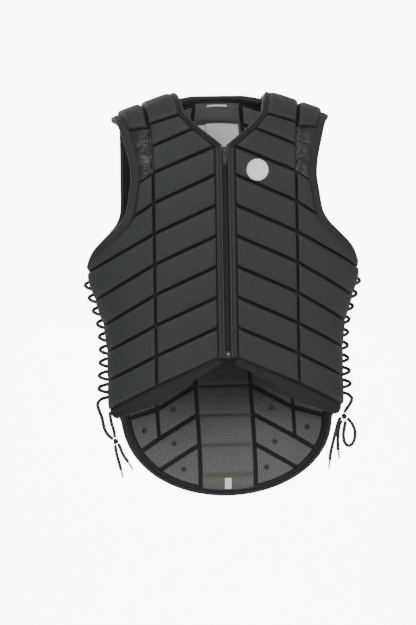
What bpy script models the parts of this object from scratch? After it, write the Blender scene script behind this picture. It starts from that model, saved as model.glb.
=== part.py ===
"""Equestrian body protector: a quilted foam vest with a front zip, laced sides and a long back.

Metres, +Z up, the front faces -Y. The origin lies between the shoulders, under their pads.
Heights in the tables count rows of quilting down from the origin, and widths are shares of
half the chest's width, so every seam and edge follows the same few sizes.
"""
import math

import bmesh
import bpy
from mathutils import Vector

# Driving sizes
CHEST_HALF = 0.222          # half the outer width just under the armholes
CHEST_DEPTH = 0.100         # middle of the body to the outer face of the chest
ROW_HEIGHT = 0.0476         # one row of quilting at the zip
FOAM = 0.016                # full thickness of a quilted block
GROOVE_DEPTH = 0.0065       # how far the stitched channels lie below the blocks
LINING = 0.0014             # mesh lining inside the back
GAP = 0.0003                # clearance between pieces that touch
SHOULDER_DROP = 0.140       # height over which the shoulders round off
NECK_BINDING = 0.0085       # width of the rolled binding of the neck
ARMHOLE_BAND = 0.015        # width of the padded band round each armhole
EDGE_BINDING = 0.005        # binding of the sides
HEM_BAND = (0.010, 0.017, 0.026, 0.023, 0.017)   # width of the front hem's band, zip to side
TAIL_BINDING = 0.0105       # binding round the long back
BINDING_THICK = 0.0125      # all bindings, through the vest's wall
BAND_CLEARANCE = 0.0009     # from the quilting to the bindings of the armholes and the neck
TAIL_CLEARANCE = 0.0009     # from the quilting to the tail's binding
WALL_MIDDLE = 0.5 * (FOAM + GROOVE_DEPTH)   # middle of the wall at a stitched edge
NECK_INSET = 0.0085         # outer face to the middle of the neck's binding
MITRE_LIMIT = 0.62          # least cosine that a binding's corner is mitred by
TAIL_SWAY = 0.008           # how far the long back hangs over to one side
SWAY_START = 8.0            # rows down where it begins to
SWAY_ROWS = 4.5             # rows over which it does
LACE = 0.005                # diameter of the side laces
LOOP_CORD = 0.003           # diameter of the scalloped cord that makes the eyelets
LACE_TURNS = 10             # turns of lace on each side
AGLET_LENGTH = 0.014
AGLET_DIAMETER = 0.0026
ZIP_HALF = 0.0145           # zip centre to the quilting
COIL_HALF = 0.0046          # half the width of the closed zip coil
COIL_THICK = 0.003
FACING_THICK = 0.006
SLIDER_WIDTH = 0.0088
SLIDER_LENGTH = 0.0125
SLIDER_THICK = 0.0032
PULL_LENGTH = 0.019
PULL_WIDTH = 0.0060
PULL_THICK = 0.0014
BOX_LENGTH = 0.0105
BOX_THICK = 0.0042
PATCH_HALF = 0.0172         # radius of the round chest patch
PATCH_THICK = 0.0012
LABEL_WIDTH = 0.060
LABEL_LENGTH = 0.044
LABEL_THICK = 0.0008
LABEL_LEFT = -0.0205        # its left edge
LABEL_TOP = 0.47            # rows down to its top
CARE_WIDTH = 0.016
CARE_LENGTH = 0.028
HANGER_HALF = 0.0225
HANGER_TOP = 0.256          # rows up to its top
HANGER_HEIGHT = 0.0034
HANGER_THICK = 0.001
TAG_WIDTH = 0.011
TAG_LENGTH = 0.018

ROUNDNESS = 2.3             # exponent of the body's section, 2 being an ellipse
ARCH = 2.4                  # exponent of the shoulder's curve
SIDE_SHARE = 0.9835         # where the panels stop, as a share of the body's half width
CREST_START = 0.392         # share of the width where the shoulder line is measured
CREST_RISE = 0.328          # height of the shoulder line there, in rows
CREST_SLOPE = 0.36          # fall of the shoulder line for each unit outwards
CREST_CURVE = 8.0           # how fast the line steepens from there to the neck, per metre
CREST_ROUND = 0.035         # half width over which it levels out at the neck's middle
FRONT, BACK = -1, 1

# Body sections: rows down, half width, front depth and back depth
BODY = [
    (-1.0, 1.100, 1.00, 1.00),
    (0.0, 1.090, 1.00, 1.00),
    (3.0, 1.040, 1.03, 1.00),
    (5.0, 1.003, 1.01, 0.96),
    (5.63, 0.996, 1.00, 0.95),
    (6.53, 0.946, 0.98, 0.93),
    (7.37, 0.890, 0.96, 0.92),
    (8.24, 0.868, 0.94, 0.92),
    (9.19, 0.866, 0.93, 0.94),
    (10.2, 0.867, 0.93, 0.97),
    (11.6, 0.872, 0.94, 1.01),
    (13.2, 0.880, 0.95, 1.05),
]
# Front rows: zip or neck end (width, rows), seam (width, rows), outer end (width, rows), groove
# A width of None is the zip's edge in the first pair and the side's edge in the last
FRONT_LINES = [
    (0.315, 0.460, 0.527, 0.756, None, None, True),
    (0.221, 0.966, 0.516, 1.523, None, None, True),
    (None, 1.565, 0.507, 2.405, 0.604, 2.710, True),
    (None, 2.494, 0.507, 3.403, 0.653, 3.845, True),
    (None, 2.744, 0.507, 3.653, 0.721, 4.307, False),
    (None, 2.994, 0.507, 3.903, 0.833, 4.748, False),
    (None, 3.244, 0.507, 4.153, 0.932, 5.168, False),
    (None, 3.494, 0.507, 4.403, None, 5.600, True),
    (None, 4.494, 0.507, 5.403, None, 6.534, True),
    (None, 5.494, 0.507, 6.403, None, 7.374, True),
    (None, 6.494, 0.507, 7.403, None, 8.235, True),
    (None, 7.494, 0.507, 8.403, None, 9.193, True),
    (None, 8.494, 0.509, 9.380, None, 10.130, True),
]
# Back rows: spine (rows), seam (width, rows), outer end (width, rows), groove
SPINE = 0.2095
BACK_LINES = [
    (-0.284, 0.5225, 0.150, 0.667, 0.550, True),
    (0.452, 0.5225, 1.240, 0.664, 1.576, True),
    (1.452, 0.5225, 2.240, 0.664, 2.563, True),
    (2.452, 0.5225, 3.240, 0.676, 3.780, True),
    (2.702, 0.5225, 3.490, 0.734, 4.265, False),
    (2.952, 0.5225, 3.740, 0.842, 4.748, False),
    (3.202, 0.5225, 3.990, 0.937, 5.168, False),
    (3.452, 0.5225, 4.240, None, 5.600, True),
    (4.452, 0.5225, 5.240, None, 6.534, True),
    (5.452, 0.5225, 6.240, None, 7.374, True),
    (6.452, 0.5225, 7.240, None, 8.235, True),
    (7.452, 0.5225, 8.240, None, 9.193, True),
    (8.452, 0.5225, 9.240, None, 10.020, True),
    (9.452, 0.5225, 10.240, 0.757, 10.504, True),
    (10.452, 0.5225, 11.240, 0.676, 11.650, True),
    (11.480, 0.5135, 12.270, 0.536, 12.310, True),
    (12.520, 0.5120, 12.330, None, None, True),
    (13.056, 0.5050, 12.400, None, None, True),
]
TAIL_CENTRE = 10.504        # rows down to the middle of the tail's half ellipse
TAIL_HALF = 0.757           # its half width
TAIL_DROP = 2.5525          # its height in rows
LAST_SIDE_LINE = 15         # the back's side columns end on this line
LAST_SEAM_LINE = 14         # below this line the back has no seam beside the spine

# Where the grid has lines across a column, as shares; the second and last but one edge a block
NARROW = (0.0, 0.05, 0.5, 0.95)
SPINE_LINE = 0.9
WIDE = (0.0, 0.03, 0.35, 0.68, 0.97)
ROW_EDGE = 0.085            # width of a groove's slope as a share of the row
INNER_ACROSS = 0.06         # lines nearer a seam than this share have none on the inner wall
INNER_SPINE = 0.11          # the same for the back, whose spine column has a wider slope
INNER_DOWN = 0.09           # and for the rows
PAD_ACROSS = (0.0, 0.07, 0.5, 0.93, 1.0)
PAD_ROUND = (0.0, 0.06, 0.22, 0.38, 0.5, 0.62, 0.78, 0.94, 1.0)

# Shoulder pads: edges at the crest, then the front and back ends (width, rows) twice
PADS = {
    "inner": ((0.374, 0.568), ((0.318, 0.435), (0.525, 0.725)), ((0.345, -0.139), (0.520, 0.105))),
    "outer": ((0.583, 0.738), ((0.5405, 0.850), (0.671, 0.890)), ((0.535, 0.143), (0.664, 0.500))),
}
# Gathered insert under the outer pad: rows down at its inner and outer edge, width there, fold
GATHERS = [
    (0.880, 0.920, 0.533, 0.669, 0.30),
    (1.100, 1.170, 0.529, 0.655, 0.95),
    (1.330, 1.430, 0.526, 0.640, 0.35),
    (1.560, 1.690, 0.522, 0.625, 1.00),
    (1.840, 2.020, 0.519, 0.613, 0.30),
    (2.120, 2.340, 0.516, 0.605, 0.90),
    (2.390, 2.650, 0.514, 0.601, 0.25),
]
GATHER_THICK = 0.010

# How far the lace bulges past the side's edge: share of the way down, metres
LACE_BULGE = [(0.0, 0.0020), (0.35, 0.0030), (0.6, 0.0055), (0.8, 0.0090), (1.0, 0.0080)]
LACE_TOP, LACE_BOTTOM = 5.86, 10.16         # rows down of the first and last turn
LACE_REACH = 0.0098                         # how far the lace reaches front and back
LACE_INSIDE = 0.0100                        # how far it passes inside the eyelets
EYELET_TIP = 0.0038                         # middle of the gap to the tip of an eyelet
EYELET_ROOT = 0.0103                        # middle of the gap to the root of an eyelet

# Free laces, points chosen by hand: x away from the middle, y, z
KNOT_RADII = (0.0046, 0.0052, 0.0050)
KNOTS = {"left": (-0.1755, 0.000, -0.5350), "right": (0.1900, 0.000, -0.5030)}
LACE_EXITS = {
    "left": [(-0.2030, 0.001, -0.4745), (-0.2010, 0.000, -0.4850), (-0.1965, -0.001, -0.4970),
             (-0.1945, -0.002, -0.5080), (-0.1915, -0.002, -0.5180), (-0.1860, -0.001, -0.5260),
             (-0.1795, 0.000, -0.5312)],
    "right": [(0.2030, 0.001, -0.4745), (0.1995, 0.000, -0.4835), (0.1935, -0.001, -0.4915),
              (0.1904, 0.000, -0.4968)],
}
LEFT_STRAND = [
    (-0.1765, 0.001, -0.5285), (-0.1780, 0.003, -0.5180), (-0.1812, 0.005, -0.5070),
    (-0.1830, 0.007, -0.4970), (-0.1835, 0.0085, -0.4880),
]
LEFT_LONG = [
    (-0.1762, 0.001, -0.5405), (-0.1755, 0.001, -0.5480), (-0.1738, 0.000, -0.5570),
    (-0.1712, -0.001, -0.5670), (-0.1690, -0.001, -0.5760), (-0.1680, 0.000, -0.5800),
]
LEFT_SHORT = [
    (-0.1712, -0.0031, -0.5385), (-0.1682, -0.005, -0.5460), (-0.1655, -0.005, -0.5530),
    (-0.1618, -0.004, -0.5600), (-0.1575, -0.003, -0.5665), (-0.1562, -0.003, -0.5685),
]
RIGHT_BOW = [
    (0.1946, 0.000, -0.5059), (0.2010, -0.001, -0.5130), (0.2060, -0.002, -0.5240),
    (0.2065, -0.002, -0.5350), (0.2030, -0.001, -0.5455), (0.1965, 0.001, -0.5500),
    (0.1905, 0.002, -0.5450), (0.1885, 0.003, -0.5330), (0.1905, 0.003, -0.5200),
    (0.1925, 0.003, -0.5105),
]
RIGHT_LONG = [
    (0.1842, -0.0027, -0.5043), (0.1800, -0.006, -0.5110), (0.1765, -0.010, -0.5210),
    (0.1725, -0.012, -0.5340), (0.1690, -0.012, -0.5470), (0.1660, -0.011, -0.5600),
    (0.1645, -0.010, -0.5720),
]
RIGHT_SHORT = [
    (0.1855, -0.0005, -0.5093), (0.1822, -0.001, -0.5165), (0.1800, -0.0015, -0.5270),
    (0.1790, -0.002, -0.5380), (0.1788, -0.002, -0.5490), (0.1795, -0.002, -0.5570),
]

NYLON = (0.045, 0.048, 0.052, 1.0)
BINDING_COLOUR = (0.022, 0.023, 0.025, 1.0)
MESH_GREY = (0.16, 0.165, 0.16, 1.0)
WHITE = (0.80, 0.80, 0.79, 1.0)
METAL = (0.42, 0.45, 0.48, 1.0)
LACE_BLACK = (0.028, 0.030, 0.033, 1.0)


def mix(start, end, share):
    return start + (end - start) * share


def mix_all(start, end, share):
    return tuple(mix(a, b, share) for a, b in zip(start, end))


def signed_power(value, power):
    return math.copysign(abs(value) ** power, value)


def curve_through(values, at):
    """Smooth value at a position along evenly numbered tuples or vectors."""
    last = len(values) - 1
    index = min(max(int(at), 0), last - 1)
    share = at - index
    before = values[max(index - 1, 0)]
    start = values[index]
    end = values[index + 1]
    after = values[min(index + 2, last)]
    result = []
    for a, b, c, d in zip(before, start, end, after):
        cubic = (3 * b - 3 * c + d - a) * share ** 3 + (2 * a - 5 * b + 4 * c - d) * share ** 2
        result.append(b + 0.5 * ((c - a) * share + cubic))
    return result


def body_section(rows):
    """Half width, front depth and back depth in metres at a height in rows down."""
    index = 0
    while index < len(BODY) - 2 and BODY[index + 1][0] < rows:
        index += 1
    span = BODY[index + 1][0] - BODY[index][0]
    share = min(max((rows - BODY[index][0]) / span, 0.0), 1.0)
    width, front, back = curve_through([row[1:] for row in BODY], index + share)
    return width * CHEST_HALF, front * CHEST_DEPTH, back * CHEST_DEPTH


def crest(x):
    """Height of the shoulder line, which falls towards the arm."""
    outwards = math.hypot(x, CREST_ROUND) - math.hypot(CREST_START * CHEST_HALF, CREST_ROUND)
    steeper = CREST_CURVE * min(outwards, 0.0) ** 2
    return CREST_RISE * ROW_HEIGHT - CREST_SLOPE * outwards + steeper


def sway(rows):
    share = min(max((rows - SWAY_START) / SWAY_ROWS, 0.0), 1.0)
    return TAIL_SWAY * share * share * (3 - 2 * share)


def arch_point(x, lean):
    """A point on the shoulder; lean is the angle from the crest, below zero at the front."""
    fall = SHOULDER_DROP * (1 - max(math.cos(lean), 0.0) ** (2 / ARCH))
    z = crest(x) - fall
    half, front, back = body_section(-z / ROW_HEIGHT)
    depth = back if lean > 0 else front
    side = (1 - min(abs(x) / half, 0.999) ** ROUNDNESS) ** (1 / ROUNDNESS)
    return Vector((x, depth * side * signed_power(math.sin(lean), 2 / ARCH), z))


def wall_point(angle, z, facing):
    """A point on the body below the shoulders; the angle runs from the middle to the side."""
    half, front, back = body_section(-z / ROW_HEIGHT)
    depth = back if facing == BACK else front
    x = half * signed_power(math.sin(angle), 2 / ROUNDNESS)
    y = facing * depth * max(math.cos(angle), 0.0) ** (2 / ROUNDNESS)
    if facing == BACK:
        x += sway(-z / ROW_HEIGHT)
    return Vector((x, y, z))


def angle_of(x, z):
    half = body_section(-z / ROW_HEIGHT)[0]
    return math.asin(max(-1.0, min(1.0, signed_power(x / half, ROUNDNESS / 2))))


def surface(x, z, facing):
    """The vest's outer face at x and z: the point and the direction pointing out of it."""
    fall = (crest(x) - z) / SHOULDER_DROP
    step = 1e-3
    if fall < 1:
        lean = facing * math.acos(min(max(1 - fall, 0.0), 1.0) ** (ARCH / 2))
        point = arch_point(x, lean)
        along = arch_point(x, lean + step) - arch_point(x, lean - step)
        across = arch_point(x + step, lean) - arch_point(x - step, lean)
    else:
        angle = angle_of(x, z)
        point = wall_point(angle, z, facing)
        along = wall_point(angle, z + step, facing) - wall_point(angle, z - step, facing)
        across = wall_point(angle + step, z, facing) - wall_point(angle - step, z, facing)
    out = along.cross(across).normalized()
    inside = Vector((0.5 * x, 0.0, z - 0.03))
    return point, out if out.dot(point - inside) > 0 else -out


def place(x, z, facing, inset):
    point, out = surface(x, z, facing)
    return point - out * inset


def material(name, colour, roughness=0.8, metallic=0.0):
    made = bpy.data.materials.new(name)
    made.use_nodes = True
    shader = made.node_tree.nodes["Principled BSDF"]
    shader.inputs["Base Color"].default_value = colour
    shader.inputs["Roughness"].default_value = roughness
    shader.inputs["Metallic"].default_value = metallic
    return made


def keep_object(name, data, colour, roughness=0.8, metallic=0.0):
    made = bpy.data.objects.new(name, data)
    bpy.context.scene.collection.objects.link(made)
    data.materials.append(material(name, colour, roughness, metallic))
    return made


def keep_mesh(name, shape, colour, roughness=0.8, metallic=0.0):
    """Turn a bmesh into a named object with its faces pointing out."""
    bmesh.ops.recalc_face_normals(shape, faces=shape.faces)
    data = bpy.data.meshes.new(name)
    shape.to_mesh(data)
    shape.free()
    data.shade_smooth()
    data.set_sharp_from_angle(angle=math.radians(40))
    return keep_object(name, data, colour, roughness, metallic)


def distinct(items):
    kept = []
    for item in items:
        if item not in kept:
            kept.append(item)
    return kept


def sheet_solid(name, outer, inner, cells, home_across, home_down, colour):
    """A wall between an outer and an inner grid; the inner one may skip lines of the outer."""
    shape = bmesh.new()
    made = {}

    def corner(key, is_outer):
        if not is_outer:
            key = (home_across[key[0]], home_down[key[1]])
        if (key, is_outer) not in made:
            made[key, is_outer] = shape.verts.new(outer[key] if is_outer else inner[key])
        return made[key, is_outer]

    open_edges = set()
    for i, j in cells:
        ring = [(i, j), (i + 1, j), (i + 1, j + 1), (i, j + 1)]
        for half in ((ring[0], ring[1], ring[2]), (ring[0], ring[2], ring[3])):
            shape.faces.new([corner(key, True) for key in half])
            base = distinct([corner(key, False) for key in reversed(half)])
            if len(base) == 3:
                shape.faces.new(base)
        for start, end in zip(ring, ring[1:] + ring[:1]):
            if (end, start) in open_edges:
                open_edges.remove((end, start))
            else:
                open_edges.add((start, end))
    for start, end in sorted(open_edges):
        wall = [corner(end, True), corner(start, True), corner(start, False), corner(end, False)]
        shape.faces.new(distinct(wall))
    return keep_mesh(name, shape, colour)


def grid_lines(steps, flags):
    """Positions across a set of rows or columns, whether each lies low, and its inner line."""
    lines = []
    for index, shares in enumerate(steps):
        for share in shares:
            lines.append((index, share, share == 0.0 and flags[index]))
    lines.append((len(steps) - 1, 1.0, flags[-1]))
    return lines


def homes(lines, edge_share):
    """For each line the line that the inner wall uses: slopes of grooves fall back to them."""
    result = []
    for number, (_, share, _) in enumerate(lines):
        if 0.0 < share < edge_share:
            result.append(number - 1)
        elif 1.0 > share > 1 - edge_share:
            result.append(number + 1)
        else:
            result.append(number)
    return result


def row_steps(grooves):
    """Lines down the panel: beside each groove one more line carries the block's edge."""
    steps = []
    for top, bottom in zip(grooves[:-1], grooves[1:]):
        shares = [0.0]
        if top:
            shares.append(ROW_EDGE)
        if bottom:
            shares.append(1 - ROW_EDGE)
        steps.append(shares)
    return steps


def point_in_column(left, right, share):
    """Go a share of the way round the body between two ends of a row line."""
    start = angle_of(left[0], left[1])
    end = angle_of(right[0], right[1])
    power = 2 / ROUNDNESS
    low = signed_power(math.sin(start), power)
    high = signed_power(math.sin(end), power)
    here = signed_power(math.sin(mix(start, end, share)), power)
    part = (here - low) / (high - low)
    return mix(left[0], right[0], part), mix(left[1], right[1], part)


def side_edge(rows):
    return SIDE_SHARE * body_section(rows)[0]


def front_line(row):
    """Ends of a front row in metres: zip or neck, seam and side."""
    start_x = ZIP_HALF if row[0] is None else row[0] * CHEST_HALF
    ends = [(start_x, -row[1] * ROW_HEIGHT), (row[2] * CHEST_HALF, -row[3] * ROW_HEIGHT)]
    if row[5] is None:
        ends.append(ends[-1])
    else:
        side_x = side_edge(row[5]) if row[4] is None else row[4] * CHEST_HALF
        ends.append((side_x, -row[5] * ROW_HEIGHT))
    return ends


def back_line(row):
    ends = [(0.0, -row[0] * ROW_HEIGHT), (SPINE * CHEST_HALF, -row[0] * ROW_HEIGHT)]
    ends.append((row[1] * CHEST_HALF, -row[2] * ROW_HEIGHT))
    if row[4] is None:
        ends.append(ends[-1])
    else:
        side_x = side_edge(row[4]) if row[3] is None else row[3] * CHEST_HALF
        ends.append((side_x, -row[4] * ROW_HEIGHT))
    return ends


def tail_edge(x):
    """Height of the tail's lower edge."""
    share = min(abs(x) / (TAIL_HALF * CHEST_HALF), 1.0)
    return -ROW_HEIGHT * (TAIL_CENTRE + TAIL_DROP * math.sqrt(1 - share * share))


def line_between(lines, index, share):
    return [mix_all(a, b, share) for a, b in zip(lines[index], lines[index + 1])]


def front_panel(name, side):
    lines = [front_line(row) for row in FRONT_LINES]
    grooves = [row[-1] for row in FRONT_LINES]
    across = grid_lines([NARROW, WIDE], [True, True])
    down = grid_lines(row_steps(grooves), grooves)
    outer, inner, cells = {}, {}, []
    for j, (row, row_share, row_low) in enumerate(down):
        ends = line_between(lines, row, row_share)
        for i, (column, share, column_low) in enumerate(across):
            if column == 1 and share > 0 and row < 2:
                continue
            x, z = point_in_column(ends[column], ends[column + 1], share) if share else ends[column]
            depth = GROOVE_DEPTH if row_low or column_low or (row_share == 1 and grooves[-1]) else 0
            if i == len(across) - 1:
                depth = GROOVE_DEPTH
            outer[i, j] = place(side * x, z, FRONT, depth)
            inner[i, j] = place(side * x, z, FRONT, FOAM)
    for j in range(len(down) - 1):
        for i in range(len(across) - 1):
            if all(key in outer for key in ((i, j), (i + 1, j), (i, j + 1), (i + 1, j + 1))):
                cells.append((i, j))
    return sheet_solid(name, outer, inner, cells, homes(across, INNER_ACROSS), homes(down, INNER_DOWN), NYLON)


def back_grid(across_steps, down_steps, raised, outer_inset, inner_inset):
    """Grids of the back between two insets, with grooves where raised is set."""
    lines = [back_line(row) for row in BACK_LINES]
    grooves = [row[-1] for row in BACK_LINES]
    half = grid_lines(across_steps, [False, True, True])
    mirrored = [(column, share, low, -1) for column, share, low in reversed(half[1:])]
    across = mirrored + [(column, share, low, 1) for column, share, low in half]
    down = grid_lines(down_steps, grooves)
    outer, inner, cells = {}, {}, []
    for j, (row, row_share, row_low) in enumerate(down):
        ends = line_between(lines, row, row_share)
        height = row + row_share
        for i, (column, share, column_low, side) in enumerate(across):
            if column == 2 and share > 0 and height > LAST_SIDE_LINE:
                continue
            x, z = point_in_column(ends[column], ends[column + 1], share) if share else ends[column]
            if height == len(lines) - 1:
                z = tail_edge(x)
            low_row = row_low or row_share == 1
            if column > 0 and row == len(lines) - 2 and row_share == 0 and share > 0:
                low_row = False
            low_seam = column_low and not (column == 2 and height > LAST_SEAM_LINE)
            if share == 1.0 or (column == 2 and height >= LAST_SIDE_LINE):
                low_seam = True
            depth = outer_inset + (GROOVE_DEPTH if raised and (low_row or low_seam) else 0)
            outer[i, j] = place(side * x, z, BACK, depth)
            inner[i, j] = place(side * x, z, BACK, inner_inset)
    for j in range(len(down) - 1):
        for i in range(len(across) - 1):
            if all(key in outer for key in ((i, j), (i + 1, j), (i, j + 1), (i + 1, j + 1))):
                cells.append((i, j))
    return outer, inner, cells, across, down


def back_panel():
    grooves = [row[-1] for row in BACK_LINES]
    steps = [(0.0, SPINE_LINE), (0.0, NARROW[1], NARROW[3]), WIDE]
    outer, inner, cells, across, down = back_grid(steps, row_steps(grooves), True, 0, FOAM)
    flat = [(column, share if side > 0 else 1 - share, low) for column, share, low, side in across]
    home = homes(flat, INNER_SPINE)
    sheet_solid("back_panel", outer, inner, cells, home, homes(down, INNER_DOWN), NYLON)


def back_lining():
    down_steps = [(0.0,)] * (len(BACK_LINES) - 1)
    start = FOAM + GAP
    steps = [(0.0,), (0.0,), (WIDE[0], WIDE[2], WIDE[3])]
    outer, inner, cells, across, down = back_grid(steps, down_steps, False, start, start + LINING)
    plain_across = list(range(len(across)))
    plain_down = list(range(len(down)))
    sheet_solid("back_mesh_lining", outer, inner, cells, plain_across, plain_down, MESH_GREY)


def lean_at(x, rows, facing):
    fall = (crest(x) + rows * ROW_HEIGHT) / SHOULDER_DROP
    return facing * math.acos(min(max(1 - fall, 0.0), 1.0) ** (ARCH / 2))


def pad_point(side, kind, across_share, round_share):
    """A point of a pad's outer face and the direction out of it."""
    crest_edges, front_ends, back_ends = PADS[kind]
    crest_x = mix(crest_edges[0], crest_edges[1], across_share) * CHEST_HALF
    front_x, front_rows = mix_all(front_ends[0], front_ends[1], across_share)
    back_x, back_rows = mix_all(back_ends[0], back_ends[1], across_share)
    start = lean_at(front_x * CHEST_HALF, front_rows, FRONT)
    end = lean_at(back_x * CHEST_HALF, back_rows, BACK)
    lean = mix(start, end, round_share)
    towards = abs(lean / (start if lean < 0 else end))
    foot = (front_x if lean < 0 else back_x) * CHEST_HALF
    x = side * mix(crest_x, foot, towards)
    step = 1e-3
    point = arch_point(x, lean)
    along = arch_point(x, lean + step) - arch_point(x, lean - step)
    out = along.cross(arch_point(x + step, lean) - arch_point(x - step, lean)).normalized()
    if out.dot(point - Vector((0.5 * x, 0.0, point.z - 0.03))) < 0:
        out = -out
    return point, out


def shoulder_pad(name, side, kind):
    """A pad that lies over the crest of the shoulder, from the front's top row to the back's."""
    outer, inner = {}, {}
    last_across, last_round = len(PAD_ACROSS) - 1, len(PAD_ROUND) - 1
    for i, across_share in enumerate(PAD_ACROSS):
        for j, share in enumerate(PAD_ROUND):
            point, out = pad_point(side, kind, across_share, share)
            low = i in (0, last_across) or j in (0, last_round)
            outer[i, j] = point - out * (GROOVE_DEPTH if low else 0)
            inner[i, j] = point - out * FOAM
    cells = [(i, j) for i in range(last_across) for j in range(last_round)]
    lines_across = [0, 0, 2, 4, 4]
    lines_round = [0, 0, 2, 3, 4, 5, 6, 8, 8]
    sheet_solid(name, outer, inner, cells, lines_across, lines_round, NYLON)


def gathered_insert(name, side):
    """Puffed nylon between the outer pad, the seam and the armhole's band."""
    outer, inner = {}, {}
    across = (0.0, 0.25, 0.5, 0.75, 1.0)
    for j, (inner_rows, outer_rows, start, end, height) in enumerate(GATHERS):
        for i, share in enumerate(across):
            x = mix(start, end, share) * CHEST_HALF
            z = -mix(inner_rows, outer_rows, share) * ROW_HEIGHT
            crown = math.sin(math.pi * share) * height
            edge = share in (0.0, 1.0)
            depth = GATHER_THICK * (0.65 if edge else 0.65 - 0.5 * crown)
            outer[i, j] = place(side * x, z, FRONT, depth)
            inner[i, j] = place(side * x, z, FRONT, FOAM)
    cells = [(i, j) for i in range(len(across) - 1) for j in range(len(GATHERS) - 1)]
    plain = list(range(max(len(across), len(GATHERS))))
    sheet_solid(name, outer, inner, cells, plain, plain, NYLON)


def sweep(name, path, width, thick, clearance, turn_side, colour, sides=6):
    """A rolled binding beside an edge given as (point, out) pairs, mitred at its corners."""
    shape = bmesh.new()
    rings = []
    for number, (point, out) in enumerate(path):
        ahead = path[min(number + 1, len(path) - 1)][0] - point
        behind = point - path[max(number - 1, 0)][0]
        ahead = (ahead if ahead.length else behind).normalized()
        behind = (behind if behind.length else ahead).normalized()
        tangent = (ahead + behind).normalized()
        across = tangent.cross(out).normalized() * turn_side
        out = (out - tangent * out.dot(tangent)).normalized()
        mitre = 1 / max(tangent.dot(ahead), MITRE_LIMIT)
        here = width[number] if isinstance(width, list) else width
        deep = thick[number] if isinstance(thick, list) else thick
        ring = []
        for corner in range(sides):
            turn = 2 * math.pi * (corner + 0.5) / sides
            flat = 0.5 * here * (1 + math.cos(turn) / math.cos(math.pi / sides)) + clearance
            offset = across * flat * mitre + out * (0.5 * deep * math.sin(turn))
            ring.append(shape.verts.new(point + offset))
        rings.append(ring)
    for ring, following in zip(rings[:-1], rings[1:]):
        for corner in range(sides):
            other = (corner + 1) % sides
            shape.faces.new([ring[corner], ring[other], following[other], following[corner]])
    shape.faces.new(rings[0])
    shape.faces.new(list(reversed(rings[-1])))
    return keep_mesh(name, shape, colour)


def edge_path(points, facing, side, inset=WALL_MIDDLE):
    """Stations inside the wall at (x, z) points of an edge."""
    path = []
    for x, z in points:
        point, out = surface(side * x, z, facing)
        path.append((point - out * inset, out))
    return path


def pad_edge(side, kind, across_share, shares, inset=WALL_MIDDLE):
    path = []
    for share in shares:
        point, out = pad_point(side, kind, across_share, share)
        path.append((point - out * inset, out))
    return path


def neck_half(side):
    """Stations of the neck's edge from the zip over the shoulder to the middle of the back."""
    front = [front_line(row)[0] for row in FRONT_LINES[2::-1]]
    between = [mix_all(front[0], front[1], 0.5), front[1], mix_all(front[1], front[2], 0.5)]
    path = edge_path([front[0]] + between, FRONT, side, NECK_INSET)
    path += pad_edge(side, "inner", 0.0, PAD_ROUND, NECK_INSET)
    top = back_line(BACK_LINES[0])
    beside_seam = point_in_column(top[0], top[1], SPINE_LINE)
    return path + edge_path([top[1], beside_seam, top[0]], BACK, side, NECK_INSET)


def neck_binding():
    path = neck_half(-1) + neck_half(1)[-2::-1]
    sweep("neck_binding", path, NECK_BINDING, BINDING_THICK, BAND_CLEARANCE, 1, BINDING_COLOUR)


def armhole_band(name, side):
    """The padded band round an armhole, from the front's side corner to the back's."""
    front = [front_line(row)[2] for row in FRONT_LINES[7:1:-1]]
    gathers = [(end * CHEST_HALF, -rows * ROW_HEIGHT) for _, rows, _, end, _ in GATHERS[-2:0:-1]]
    path = edge_path(front + gathers, FRONT, side)
    path += pad_edge(side, "outer", 1.0, PAD_ROUND[1:-1])
    back = [back_line(row)[3] for row in BACK_LINES[1:8]]
    path += edge_path(back, BACK, side)
    sweep(name, path, ARMHOLE_BAND, BINDING_THICK, BAND_CLEARANCE, side, BINDING_COLOUR)


def front_edge_binding(name, side):
    """From the zip's foot along the hem and up the side to the armhole."""
    lines = [front_line(row) for row in FRONT_LINES]
    hem = lines[-1]
    points = [hem[0], point_in_column(hem[0], hem[1], 0.5), hem[1]]
    points += [point_in_column(hem[1], hem[2], share) for share in WIDE[2:4]]
    points += [line[2] for line in reversed(lines[7:])]
    path = edge_path(points, FRONT, side)
    widths = list(HEM_BAND) + [EDGE_BINDING] * (len(path) - len(HEM_BAND))
    thick = FOAM - GROOVE_DEPTH
    sweep(name, path, widths, thick, 2 * GAP, side, BINDING_COLOUR)


def back_edge_binding():
    """From one armhole down the side, round the tail and up to the other armhole."""
    lines = [back_line(row) for row in BACK_LINES]
    points = [line[3] for line in lines[7:16]]
    foot = lines[-1]
    for x in (foot[2][0], foot[1][0], point_in_column(foot[0], foot[1], SPINE_LINE)[0]):
        points.append((x, tail_edge(x)))
    middle = [(0.0, tail_edge(0.0))]
    left = edge_path(points, BACK, -1)
    path = edge_path(points + middle, BACK, 1) + left[::-1]
    beside = 6
    round_tail = len(path) - 2 * beside
    widths = [EDGE_BINDING] * beside + [TAIL_BINDING] * round_tail + [EDGE_BINDING] * beside
    side_thick = [FOAM - GROOVE_DEPTH] * beside
    thicks = side_thick + [BINDING_THICK] * round_tail + side_thick
    sweep("tail_binding", path, widths, thicks, TAIL_CLEARANCE, 1, BINDING_COLOUR)


def strip(name, edges, insets, rows, colour, across=1, stations=10):
    """A narrow vertical strip on the front, from one height to another."""
    outer, inner = {}, {}
    for j in range(stations + 1):
        z = -mix(rows[0], rows[1], j / stations) * ROW_HEIGHT
        for i in range(across + 1):
            x = mix(edges[0], edges[1], i / across)
            outer[i, j] = place(x, z, FRONT, insets[0])
            inner[i, j] = place(x, z, FRONT, insets[1])
    cells = [(i, j) for i in range(across) for j in range(stations)]
    plain = list(range(stations + 1))
    return sheet_solid(name, outer, inner, cells, plain, plain, colour)


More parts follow.
